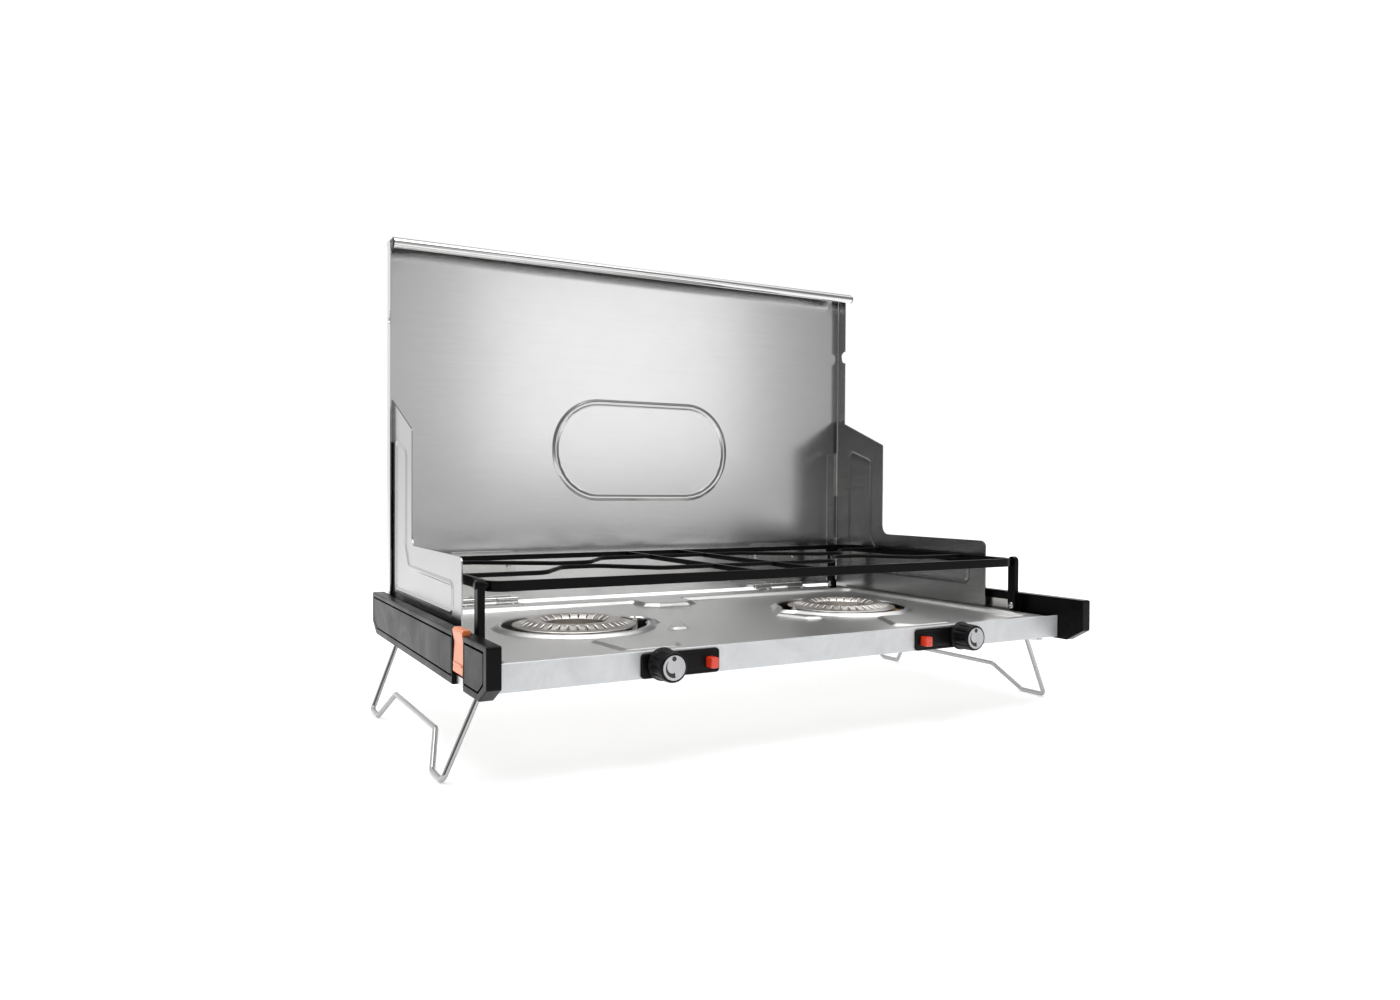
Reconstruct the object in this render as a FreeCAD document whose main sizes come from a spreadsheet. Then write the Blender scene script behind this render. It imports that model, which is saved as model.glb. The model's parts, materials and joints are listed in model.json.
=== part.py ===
import FreeCAD, Part

import math
import os
import re

import Sketcher

# Two-burner folding camp stove, set up for use.
# +X is the user's right, +Y points to the back (the lid), +Z is up.
# The origin is on the ground, in the middle of the box round the stove.

DIMENSIONS = {
    # end rails
    "overall_width": 515.0,
    "rail_length": 324.0,
    "rail_thick": 9.0,
    "rail_top": 92.0,
    "rail_height": 34.5,
    "chamfer_run": 16.0,
    "chamfer_rise": 9.3,
    "recess_depth": 2.2,
    "recess_rim": 5.5,
    # tray
    "tray_half": 238.0,
    "tray_front": -137.0,
    "tray_back": 148.0,
    "tray_top": 77.0,
    "tray_base": 59.0,
    "sheet": 1.0,
    "dish_depth": 3.0,
    "border": 10.0,
    "back_border": 24.0,
    "bump_half": 24.0,
    "bump_reach": 20.0,
    "panel_half": 248.2,
    "panel_thick": 1.2,
    # burners
    "burner_x": 132.5,
    "burner_y": 9.0,
    "hole_radius": 57.0,
    "collar_radius": 65.0,
    "cap_radius": 49.0,
    "cap_rim_z": 75.0,
    "cap_crest_z": 79.0,
    "crest_radius": 36.0,
    "eye_radius": 24.0,
    "slot_width": 1.2,
    "slot_inner": 29.0,
    "slot_outer": 41.5,
    "slot_count": 36,
    "bowl_radius": 43.0,
    "mixer_radius": 5.0,
    # controls
    "control_z": 68.5,
    "stem_radius": 3.0,
    "knob_back": 11.0,
    "knob_face": 9.2,
    "knob_front_y": -157.0,
    "knob_rear_y": -140.0,
    "plate_left": 88.0,
    "plate_right": 147.0,
    "plate_thick": 2.0,
    "plate_height": 16.4,
    "button_x": 95.5,
    "button_z": 66.8,
    "button_wide": 5.8,
    "button_tall": 7.2,
    "button_front_y": -146.0,
    "button_gap": 0.4,
    "running_gap": 0.05,
    # lid
    "lid_half": 246.0,
    "lid_back": 160.0,
    "lid_sheet": 0.8,
    "lid_top": 395.0,
    "lid_flange": 13.0,
    "hem_depth": 21.7,
    "hem_radius": 4.0,
    "notch_z": 328.0,
    "notch_radius": 6.5,
    "hinge_y": 150.5,
    "hinge_z": 80.5,
    "hinge_x": 160.5,
    "hinge_length": 61.0,
    "barrel_radius": 2.5,
    "hinge_pin_radius": 1.25,
    "leaf_thick": 0.8,
    # windscreens
    "screen_x": 242.9,
    "screen_thick": 1.0,
    "screen_axis_y": 156.8,
    "screen_front": -61.5,
    "screen_base": 75.0,
    "screen_low": 136.5,
    "screen_step_y": 80.5,
    "screen_slope_z": 229.0,
    "screen_top": 259.0,
    "screen_knuckle": 47.0,
    "knuckle_radius": 1.5,
    # grate and its posts
    "grate_side": 234.2,
    "grate_front": -100.0,
    "grate_back": 125.5,
    "grate_top": 123.3,
    "strip_height": 7.0,
    "strip_thick": 3.0,
    "bar_height": 4.5,
    "rod_size": 3.5,
    "post_inner": 238.6,
    "post_width": 5.0,
    "post_depth": 8.0,
    "post_y": -95.0,
    "post_low_z": 81.3,
    "post_high_z": 120.5,
    "pivot_radius": 1.5,
    "back_post_x": 214.0,
    "back_post_y": 131.6,
    # legs
    "leg_pivot_x": 243.5,
    "leg_pivot_z": 56.5,
    "wire_radius": 2.0,
    "leg_splay": 24.2,
    "foot_reach": 59.75,
    "bar_reach": 37.6,
    # latches
    "latch_y": -102.0,
    "latch_width": 21.4,
    "slot_gap": 24.4,
    "slot_depth": 7.0,
    "latch_pin_x": 254.5,
    "latch_pin_z": 70.0,
}

doc = FreeCAD.newDocument("CampStove")
sheet = doc.addObject("Spreadsheet::Sheet", "Dims")
for row, (alias, number) in enumerate(DIMENSIONS.items(), start=1):
    sheet.set(f"A{row}", alias)
    sheet.set(f"B{row}", str(number))
    sheet.setAlias(f"B{row}", alias)
doc.recompute()

X_AXIS = FreeCAD.Vector(1, 0, 0)
Y_AXIS = FreeCAD.Vector(0, 1, 0)
Z_AXIS = FreeCAD.Vector(0, 0, 1)
SIDES = {"left": -1, "right": 1}
LATCH_SIDE = "left"
parts = []


def bound(text):
    """An expression in which every dimension's name points at its cell."""
    def cell(match):
        word = match.group()
        return f"Dims.{word}" if word in DIMENSIONS else word

    return re.sub(r"[a-z_]+\w*", cell, str(text))


def number(text):
    """The value that an expression has now."""
    return float(sheet.evalExpression(bound(text)))


def bind(obj, **properties):
    """Ties properties of an object to expressions of the dimensions."""
    for name, text in properties.items():
        obj.setExpression(name, bound(text))


def place(obj, at):
    for axis, text in zip("xyz", at):
        obj.setExpression(f"Placement.Base.{axis}", bound(text))


def part(obj, label):
    """Marks an object as a sub-part, under the name of its node."""
    obj.Label = label
    parts.append(obj)
    return obj


def box(middle, size):
    """A block with its middle and its three sides given."""
    block = doc.addObject("Part::Box", "Block")
    bind(block, Length=size[0], Width=size[1], Height=size[2])
    place(block, [f"({m}) - ({s}) / 2" for m, s in zip(middle, size)])
    return block


def span(low, high):
    """A block between two opposite corners."""
    block = doc.addObject("Part::Box", "Block")
    bind(block, Length=f"({high[0]}) - ({low[0]})", Width=f"({high[1]}) - ({low[1]})",
         Height=f"({high[2]}) - ({low[2]})")
    place(block, low)
    return block


def side_span(side, low, high):
    """A block whose x range is given on the right and mirrored to the left for side -1."""
    if side > 0:
        return span(low, high)
    return span([f"-({high[0]})", low[1], low[2]], [f"-({low[0]})", high[1], high[2]])


def rod(start, axis, radius, length):
    """A cylinder from start along an axis, backwards where the length is negative."""
    cylinder = doc.addObject("Part::Cylinder", "Rod")
    along = axis if number(length) > 0 else -axis
    bind(cylinder, Radius=radius, Height=f"abs({length})")
    cylinder.Placement.Rotation = FreeCAD.Rotation(Z_AXIS, along)
    place(cylinder, start)
    return cylinder


def cone(start, low_radius, high_radius, height):
    frustum = doc.addObject("Part::Cone", "Cone")
    bind(frustum, Radius1=low_radius, Radius2=high_radius, Height=height)
    place(frustum, start)
    return frustum


def fuse(*shapes):
    joined = doc.addObject("Part::MultiFuse", "Joined")
    joined.Shapes = list(shapes)
    joined.Refine = True
    return joined


def cut(base, *tools):
    for tool in tools:
        result = doc.addObject("Part::Cut", "Trimmed")
        result.Base = base
        result.Tool = tool
        result.Refine = True
        base = result
    return base


def group(*shapes):
    """Separate solids that share one node."""
    together = doc.addObject("Part::Compound", "Group")
    together.Links = list(shapes)
    return together


def new_body(name):
    return doc.addObject("PartDesign::Body", name)


def sketch_on(body, role, offset="0"):
    """An empty sketch on one of the body's own origin planes, moved along the plane's normal."""
    sketch = body.newObject("Sketcher::SketchObject", "Sketch")
    plane = next(f for f in body.Origin.OriginFeatures if f.Role == role)
    sketch.AttachmentSupport = [(plane, "")]
    sketch.MapMode = "FlatFace"
    sketch.setExpression("AttachmentOffset.Base.z", bound(offset))
    return sketch


def tie_point(sketch, geometry, end, at):
    """Holds a point of the sketch at two expressions, measured from the sketch's origin."""
    for kind, text in zip(("DistanceX", "DistanceY"), at):
        index = sketch.addConstraint(Sketcher.Constraint(kind, -1, 1, geometry, end, number(text)))
        sketch.setExpression(f"Constraints[{index}]", bound(text))


def outline(sketch, corners):
    """A closed outline of straight lines through corners given as pairs of expressions."""
    points = [FreeCAD.Vector(number(u), number(v), 0) for u, v in corners]
    first = sketch.GeometryCount
    count = len(points)
    for i in range(count):
        sketch.addGeometry(Part.LineSegment(points[i], points[(i + 1) % count]))
    for i in range(count):
        following = first + (i + 1) % count
        sketch.addConstraint(Sketcher.Constraint("Coincident", first + i, 2, following, 1))
    for i, corner in enumerate(corners):
        tie_point(sketch, first + i, 1, corner)


def ring(sketch, centre, radius):
    """A circle with its centre and radius given as expressions."""
    at = FreeCAD.Vector(number(centre[0]), number(centre[1]), 0)
    index = sketch.addGeometry(Part.Circle(at, Z_AXIS, number(radius)))
    tie_point(sketch, index, 3, centre)
    held = sketch.addConstraint(Sketcher.Constraint("Radius", index, number(radius)))
    sketch.setExpression(f"Constraints[{held}]", bound(radius))


def pad(body, sketch, length, backwards=False):
    feature = body.newObject("PartDesign::Pad", "Pad")
    feature.Profile = sketch
    bind(feature, Length=length)
    feature.Reversed = backwards
    sketch.Visibility = False
    doc.recompute()
    return feature


def pocket(body, sketch, depth, backwards=False, taper=0.0):
    """A pocket that must take material away."""
    before = body.Shape.Volume
    feature = body.newObject("PartDesign::Pocket", "Pocket")
    feature.Profile = sketch
    bind(feature, Length=depth)
    feature.Reversed = backwards
    feature.TaperAngle = taper
    doc.recompute()
    if not body.Shape.Volume < before - 1e-6:
        raise RuntimeError(f"{body.Name}: a pocket cuts nothing")
    return feature


def revolve(body, sketch):
    """A full turn of the profile about the sketch's vertical axis."""
    feature = body.newObject("PartDesign::Revolution", "Revolution")
    feature.Profile = sketch
    feature.ReferenceAxis = (sketch, ["V_Axis"])
    feature.Angle = 360
    doc.recompute()
    return feature


def rounded(body, radius, wanted):
    """Rounds the edges of the tip for which wanted(edge) is true."""
    tip = body.Tip
    names = [f"Edge{i + 1}" for i, edge in enumerate(tip.Shape.Edges) if wanted(edge)]
    feature = body.newObject("PartDesign::Fillet", "Fillet")
    feature.Base = (tip, names)
    feature.Radius = radius
    doc.recompute()
    return feature


def runs_along(edge, axis):
    """Whether an edge is straight and parallel to an axis."""
    ends = edge.Vertexes
    if len(ends) != 2 or edge.Curve.TypeId != "Part::GeomLine":
        return False
    return (ends[1].Point - ends[0].Point).normalize().cross(axis).Length < 1e-6


# ---------------------------------------------------------------- tray

def dish_outline(grow):
    """The dished cooking area, with the step at the middle of its back; grow moves it outwards."""
    side = f"tray_half - border + {grow}"
    front = f"tray_front + panel_thick + border - {grow}"
    back = f"tray_back - back_border + {grow}"
    step = f"tray_back - back_border - bump_reach + {grow}"
    return [(f"-({side})", front), (side, front), (side, back),
            (f"bump_half + 8 - {grow}", back), (f"bump_half - {grow}", step),
            (f"-bump_half + {grow}", step), (f"-bump_half - 8 + {grow}", back), (f"-({side})", back)]


def control_holes():
    """Cutters for the valve stems and the igniter buttons, long enough for the panel and the tray's wall."""
    holes = []
    for side in SIDES.values():
        holes.append(rod([f"{side} * burner_x", "tray_front - 5", "control_z"], Y_AXIS,
                         "stem_radius + 1.5", "8"))
        holes.append(box([f"{side} * button_x", "tray_front - 1", "button_z"],
                         ["button_wide + 2 * button_gap", "8", "button_tall + 2 * button_gap"]))
    return holes


def tray():
    """Pressed steel tray: border, dished floor, raised collars, ribs and pads, and side walls."""
    low_y = "tray_front + panel_thick"
    body = new_body("TrayBody")
    plan = sketch_on(body, "XY_Plane", "tray_base")
    outline(plan, [("-tray_half", low_y), ("tray_half", low_y), ("tray_half", "tray_back"),
                   ("-tray_half", "tray_back")])
    pad(body, plan, "tray_top - tray_base")
    dish = sketch_on(body, "XY_Plane", "tray_top")
    outline(dish, dish_outline("0"))
    pocket(body, dish, "dish_depth", taper=-50.0)
    inside = [("-tray_half + sheet", f"{low_y} + sheet"), ("tray_half - sheet", f"{low_y} + sheet"),
              ("tray_half - sheet", "tray_back - sheet"), ("-tray_half + sheet", "tray_back - sheet")]
    hollow = sketch_on(body, "XY_Plane", "tray_base")
    outline(hollow, inside)
    pocket(body, hollow, "tray_top - tray_base - dish_depth - sheet", backwards=True)
    under_border = sketch_on(body, "XY_Plane", "tray_base")
    outline(under_border, inside)
    outline(under_border, dish_outline("sheet"))
    pocket(body, under_border, "tray_top - tray_base - sheet", backwards=True)

    floor = "tray_top - dish_depth"
    raised, hollows = [body], []
    for side in SIDES.values():
        middle = (f"{side} * burner_x", "burner_y")
        raised.append(cone([*middle, floor], "collar_radius", "hole_radius + 1.6", "dish_depth - 0.2"))
        hollows.append(cone([*middle, f"{floor} - sheet - 0.01"], "collar_radius - sheet",
                            "hole_radius + 0.4", "dish_depth - 0.2"))
        hollows.append(rod([*middle, "tray_base"], Z_AXIS, "hole_radius", "tray_top - tray_base"))
        for low, high in ((("burner_x - 14", "-104"), ("burner_x + 14", "burner_y - hole_radius + 2")),
                          (("30", "burner_y - 16"), ("burner_x - hole_radius + 2", "burner_y + 14"))):
            raised.append(side_span(side, [*low, floor], [*high, f"{floor} + 2.4"]))
            hollows.append(side_span(side, [f"{low[0]} + sheet", f"{low[1]} + sheet", f"{floor} - sheet - 0.01"],
                                     [f"{high[0]} - sheet", f"{high[1]} - sheet", f"{floor} + 2.4 - sheet"]))
    # the gas fitting passes through the back wall
    hollows.append(rod(["190", "tray_back - 5", "control_z - 0.5"], Y_AXIS, "5.2", "10"))
    part(cut(fuse(*raised), *hollows, *control_holes()), "tray")


def front_panel():
    """Strip along the front with the holes for the two valves and the two igniters."""
    middle = ["0", "tray_front + panel_thick / 2", "(tray_top + tray_base) / 2"]
    panel = box(middle, ["2 * panel_half", "panel_thick", "tray_top - tray_base"])
    part(cut(panel, *control_holes()), "front_panel")


def bottom_cover():
    """Flat sheet that closes the tray from below, with a row of air slots under each burner."""
    body = new_body("CoverBody")
    plan = sketch_on(body, "XY_Plane", "tray_base + 0.3")
    gap = "(sheet + 0.2)"
    outline(plan, [(f"-tray_half + {gap}", f"tray_front + panel_thick + {gap}"),
                   (f"tray_half - {gap}", f"tray_front + panel_thick + {gap}"),
                   (f"tray_half - {gap}", f"tray_back - {gap}"), (f"-tray_half + {gap}", f"tray_back - {gap}")])
    pad(body, plan, "sheet")
    slot_long, slot_wide, pitch, rows = "44", "5", 14.0, 5
    for side in SIDES.values():
        air = sketch_on(body, "XY_Plane", "tray_base")
        left, low = f"{side} * burner_x - {slot_long} / 2", f"burner_y - {pitch * (rows - 1) / 2}"
        right, high = f"{left} + {slot_long}", f"{low} + {slot_wide}"
        outline(air, [(left, low), (right, low), (right, high), (left, high)])
        slot = pocket(body, air, "2 * sheet", backwards=True)
        pattern = body.newObject("PartDesign::LinearPattern", "AirSlots")
        pattern.Originals = [slot]
        pattern.Direction = (air, ["V_Axis"])
        pattern.Length = pitch * (rows - 1)
        pattern.Occurrences = rows
        body.Tip = pattern
        doc.recompute()
    part(body, "bottom_cover")


# ---------------------------------------------------------------- end rails

def rail(name, side):
    """Moulded end rail: a bar with cut-off lower corners and sunk panels; the left one has the latch slot."""
    back, front = "rail_length / 2", "-rail_length / 2"
    low = "rail_top - rail_height"
    body = new_body("Rail" + name)
    profile = sketch_on(body, "YZ_Plane", f"{side} * (overall_width / 2 - rail_thick)")
    outline(profile, [(f"{front} + chamfer_run", low), (f"{back} - chamfer_run", low),
                      (back, f"{low} + chamfer_rise"), (back, "rail_top"), (front, "rail_top"),
                      (front, f"{low} + chamfer_rise")])
    pad(body, profile, "rail_thick", backwards=side < 0)
    rounded(body, 1.2, lambda edge: runs_along(edge, X_AXIS))
    rim, run = "recess_rim", "chamfer_run * 0.8"
    slot_front, slot_back = "latch_y - slot_gap / 2", "latch_y + slot_gap / 2"
    face = f"{side} * overall_width / 2"
    long_recess = [(f"{slot_back} + 3", f"{low} + {rim}"), (f"{back} - {rim} - {run}", f"{low} + {rim}"),
                   (f"{back} - {rim} - 9", f"{low} + {rim} + chamfer_rise * 0.8"),
                   (f"{back} - {rim} - 9", f"rail_top - {rim}"), (f"{slot_back} + 3", f"rail_top - {rim}")]
    short_recess = [(f"{front} + {rim} + 6 + {run}", f"{low} + {rim} - 2"),
                    (f"{slot_front} - 4", f"{low} + {rim} - 2"),
                    (f"{slot_front} - 4", f"rail_top - {rim}"), (f"{front} + {rim} + 6", f"rail_top - {rim}"),
                    (f"{front} + {rim} + 6", f"{low} + {rim} + chamfer_rise - 3")]
    slot = [(slot_front, f"{low} - 1"), (slot_back, f"{low} - 1"), (slot_back, "rail_top + 1"),
            (slot_front, "rail_top + 1")]
    cuts = [(long_recess, "recess_depth"), (short_recess, "recess_depth")]
    if name == LATCH_SIDE:
        cuts.append((slot, "slot_depth"))
    for corners, depth in cuts:
        sunk = sketch_on(body, "YZ_Plane", face)
        outline(sunk, corners)
        pocket(body, sunk, depth, backwards=side < 0)
    # a shallow groove along the top, from behind the latch to the back end
    groove = sketch_on(body, "XY_Plane", "rail_top")
    inner = f"{side} * (overall_width / 2 - 6)"
    outer = f"{side} * (overall_width / 2 - 3.4)"
    outline(groove, [(inner, f"{slot_back} + 5"), (outer, f"{slot_back} + 5"), (outer, f"{back} - 4"),
                     (inner, f"{back} - 4")])
    pocket(body, groove, "0.8")
    if name == LATCH_SIDE:
        bore = sketch_on(body, "XZ_Plane", "-latch_y - slot_gap / 2 - 5")
        ring(bore, (f"{side} * latch_pin_x", "latch_pin_z"), "hinge_pin_radius + running_gap")
        pocket(body, bore, "slot_gap + 10", backwards=True)
    part(body, f"end_rail_{name}")


def side_bracket(name, side):
    """Steel strip that joins the tray's wall to the rail, with two uprights against the rail."""
    outer = "overall_width / 2 - rail_thick"
    floor = side_span(side, ["tray_half", "tray_front + panel_thick", "tray_base"],
                      [outer, "tray_back - 2", "tray_base + sheet"])
    upright = side_span(side, [f"{outer} - sheet", "post_y - 3", "tray_base + sheet"],
                        [outer, "-50", "rail_top - 7"])
    back_upright = side_span(side, [f"{outer} - sheet", "60", "tray_base + sheet"],
                             [outer, "tray_back - 2", "rail_top - 14"])
    part(fuse(floor, upright, back_upright), f"side_bracket_{name}")


def latch_plate():
    """Steel block that shows at the foot of the latch slot."""
    inner = "overall_width / 2 - slot_depth"
    low = ["latch_y - slot_gap / 2 + 0.5", "rail_top - rail_height + 0.5"]
    high = ["latch_y + slot_gap / 2 - 0.5", "rail_top - rail_height + 6.5"]
    part(side_span(SIDES[LATCH_SIDE], [inner, *low], [f"{inner} + 4.6", *high]), "latch_plate")


def latch():
    """Lever in the rail's slot: a flat leg with a flared head that hooks over the rail."""
    side = SIDES[LATCH_SIDE]
    body = new_body("LatchBody")
    profile = sketch_on(body, "XZ_Plane", "-latch_y - latch_width / 2")
    outer, inner = "overall_width / 2 + 0.2", "overall_width / 2 - 5.4"
    corners = [(inner, "latch_pin_z - 4"), (f"{outer} - 1", "latch_pin_z - 4"),
               (outer, "latch_pin_z - 3"), (f"{outer} - 0.8", "rail_top - 8"),
               (outer, "rail_top + 1.2"), (f"{outer} - 1.6", "rail_top + 2.8"),
               ("overall_width / 2 - 8.4", "rail_top + 2.8"), ("overall_width / 2 - 8.4", "rail_top + 0.5"),
               (inner, "rail_top + 0.5")]
    outline(profile, [(f"{side} * ({u})", v) for u, v in corners])
    pad(body, profile, "latch_width")
    bore = sketch_on(body, "XZ_Plane", "-latch_y - latch_width")
    ring(bore, (f"{side} * latch_pin_x", "latch_pin_z"), "hinge_pin_radius + running_gap")
    hole = body.newObject("PartDesign::Pocket", "PinHole")
    hole.Profile = bore
    bind(hole, Length="3 * latch_width")
    hole.Midplane = True
    doc.recompute()
    part(body, f"latch_{LATCH_SIDE}")


# ---------------------------------------------------------------- gas train

def burner_bowl(name, side):
    """Cup under the burner cap, with a socket for the mixer tube."""
    middle = [f"{side} * burner_x", "burner_y"]
    cup = fuse(rod([*middle, "tray_base + 1.3"], Z_AXIS, "bowl_radius - 6", "6"),
               rod([*middle, "tray_base + 7"], Z_AXIS, "bowl_radius", "cap_rim_z - tray_base - 7"),
               rod([middle[0], "burner_y - bowl_radius + 4", "control_z - 0.5"], Y_AXIS,
                   "mixer_radius + 1.5", "-9"))
    hollow = rod([*middle, "tray_base + 4.5"], Z_AXIS, "bowl_radius - 8", "cap_rim_z - tray_base - 3")
    mouth = rod([middle[0], "burner_y - bowl_radius - 6", "control_z - 0.5"], Y_AXIS,
                "mixer_radius + 0.02", "20")
    part(cut(cup, hollow, mouth), f"burner_bowl_{name}")


def burner_cap(name, side):
    """Pressed ring: a flat rim that climbs to a slotted crest and falls to the open eye."""
    body = new_body("Cap" + name)
    profile = sketch_on(body, "XZ_Plane")
    shell = "1.2"
    outline(profile, [("cap_radius", "0"), ("cap_radius", shell), ("cap_radius - 5", f"{shell} + 0.4"),
                      ("crest_radius", "cap_crest_z - cap_rim_z"), ("eye_radius", f"{shell} + 0.6"),
                      ("eye_radius", "0.6"), ("crest_radius", f"cap_crest_z - cap_rim_z - {shell}"),
                      ("cap_radius - 5", "0.1")])
    revolve(body, profile)
    cutter = sketch_on(body, "XY_Plane", "8")
    outline(cutter, [("slot_inner", "-slot_width / 2"), ("slot_outer", "-slot_width / 2"),
                     ("slot_outer", "slot_width / 2"), ("slot_inner", "slot_width / 2")])
    slot = pocket(body, cutter, "12")
    pattern = body.newObject("PartDesign::PolarPattern", "Slots")
    pattern.Originals = [slot]
    pattern.Axis = (cutter, ["N_Axis"])
    pattern.Angle = 360
    pattern.setExpression("Occurrences", bound("slot_count"))
    body.Tip = pattern
    doc.recompute()
    place(body, [f"{side} * burner_x", "burner_y", "cap_rim_z"])
    part(body, f"burner_cap_{name}")


def mixer_tubes():
    """Tubes that mix gas and air, each with a flared mouth behind its valve."""
    tubes = []
    for side in SIDES.values():
        start = [f"{side} * burner_x", "-84", "control_z - 0.5"]
        tube = fuse(rod(start, Y_AXIS, "mixer_radius", "burner_y - bowl_radius + 2 + 84"),
                    rod(start, Y_AXIS, "mixer_radius + 1", "6"))
        tubes.append(cut(tube, rod([start[0], "-85", start[2]], Y_AXIS, "mixer_radius - 1", "100")))
    part(group(*tubes), "mixer_tubes")


def valves():
    """Brass gas valves, fixed to the front wall, each with a nozzle into its mixer tube."""
    bodies = []
    wall = "tray_front + panel_thick + sheet"
    for side in SIDES.values():
        x = f"{side} * burner_x"
        block = span([f"{x} - 6.5", wall, "control_z - 6.5"], [f"{x} + 6.5", "-97", "control_z + 4.3"])
        nozzle = rod([x, "-98", "control_z - 0.5"], Y_AXIS, "2.5", "15.5")
        bore = rod([x, f"{wall} - 1", "control_z"], Y_AXIS, "stem_radius + running_gap", "11")
        bodies.append(cut(fuse(block, nozzle), bore))
    part(group(*bodies), "valves")


def valve_stem(name, side):
    """Round stem that turns in the valve and carries the knob."""
    stem = rod([f"{side} * burner_x", "tray_front + panel_thick + sheet + 9.8", "control_z"], Y_AXIS,
               "stem_radius", "knob_rear_y - tray_front - panel_thick - sheet - 20")
    part(stem, f"valve_stem_{name}")


def gas_pipes():
    """Pipe between the valves, and the pipe from the back fitting to the right valve."""
    level = "control_z - 0.5"
    inner = "burner_x - 6.5"
    manifold = rod([f"-({inner})", "-104", level], X_AXIS, "3", f"2 * ({inner})")
    part(manifold, "manifold_pipe")
    body = new_body("SupplyPipe")
    path = sketch_on(body, "XY_Plane", level)
    bend = 14.0
    start = FreeCAD.Vector(number("burner_x + 6.5"), -104, 0)
    turn = FreeCAD.Vector(190, -104, 0)
    finish = FreeCAD.Vector(190, number("tray_back - 7"), 0)
    middle = FreeCAD.Vector(turn.x - bend, turn.y + bend, 0)
    path.addGeometry(Part.LineSegment(start, FreeCAD.Vector(middle.x, turn.y, 0)))
    path.addGeometry(Part.Arc(FreeCAD.Vector(middle.x, turn.y, 0),
                              middle + FreeCAD.Vector(math.sin(math.pi / 4), -math.cos(math.pi / 4), 0) * bend,
                              FreeCAD.Vector(turn.x, middle.y, 0)))
    path.addGeometry(Part.LineSegment(FreeCAD.Vector(turn.x, middle.y, 0), finish))
    profile = sketch_on(body, "YZ_Plane", "burner_x + 6.5")
    ring(profile, ("-104", level), "3")
    sweep = body.newObject("PartDesign::AdditivePipe", "Pipe")
    sweep.Profile = profile
    sweep.Spine = (path, [])
    doc.recompute()
    part(body, "supply_pipe")


def gas_inlet():
    """Brass fitting through the back wall, with a plain nose for the regulator's hose."""
    at = ["190", "tray_back - 7", "control_z - 0.5"]
    inside = rod(at, Y_AXIS, "5", "10")
    nut = doc.addObject("Part::Prism", "Nut")
    nut.Polygon = 6
    bind(nut, Circumradius="6.4", Height="3")
    nut.Placement.Rotation = FreeCAD.Rotation(Z_AXIS, Y_AXIS)
    place(nut, ["190", "tray_back + 0.2", "control_z - 0.5"])
    nose = rod(["190", "tray_back + 2", "control_z - 0.5"], Y_AXIS, "4.5", "11")
    bore = rod(["190", "tray_back", "control_z - 0.5"], Y_AXIS, "2", "20")
    part(cut(fuse(inside, nut, nose), bore), "gas_inlet")


def igniters():
    """Piezo igniters: round cases behind the front panel, each with a guide for its button's stalk."""
    cases = []
    for side in SIDES.values():
        start = [f"{side} * button_x", "tray_front + panel_thick + sheet", "button_z + 0.8"]
        case = rod(start, Y_AXIS, "5", "27.5")
        guide = rod([start[0], "tray_front", "button_z"], Y_AXIS, "1.5 + running_gap", "18")
        cases.append(cut(case, guide))
    part(group(*cases), "igniters")


def electrodes():
    """Ceramic rods with a spark wire, in the gap beside each burner cap."""
    rods = []
    for side in SIDES.values():
        x = f"{side} * (burner_x - 53)"
        ceramic = rod([x, "burner_y", "tray_base + 1.3"], Z_AXIS, "2.2", "15.7")
        rods.append(fuse(ceramic, rod([x, "burner_y", "tray_base + 16"], Z_AXIS, "0.8", "4")))
    part(group(*rods), "electrodes")


# ---------------------------------------------------------------- controls

def control_plate(name, side):
    """Black plate on the front panel, round the knob and the button."""
    body = new_body("Plate" + name)
    profile = sketch_on(body, "XZ_Plane", "-tray_front")
    low, high = "control_z - 1.1 - plate_height / 2", "control_z - 1.1 + plate_height / 2"
    outline(profile, [(f"{side} * plate_left", low), (f"{side} * plate_right", low),
                      (f"{side} * plate_right", high), (f"{side} * plate_left", high)])
    pad(body, profile, "plate_thick")
    rounded(body, 2.5, lambda edge: runs_along(edge, Y_AXIS))
    openings = sketch_on(body, "XZ_Plane", "-tray_front")
    ring(openings, (f"{side} * burner_x", "control_z"), "stem_radius + 1")
    wide, tall = "button_wide / 2 + button_gap", "button_tall / 2 + button_gap"
    outline(openings, [(f"{side} * button_x - ({wide})", f"button_z - ({tall})"),
                       (f"{side} * button_x + {wide}", f"button_z - ({tall})"),
                       (f"{side} * button_x + {wide}", f"button_z + {tall}"),
                       (f"{side} * button_x - ({wide})", f"button_z + {tall}")])
    pocket(body, openings, "plate_thick", backwards=True)
    part(body, f"control_plate_{name}")


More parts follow.
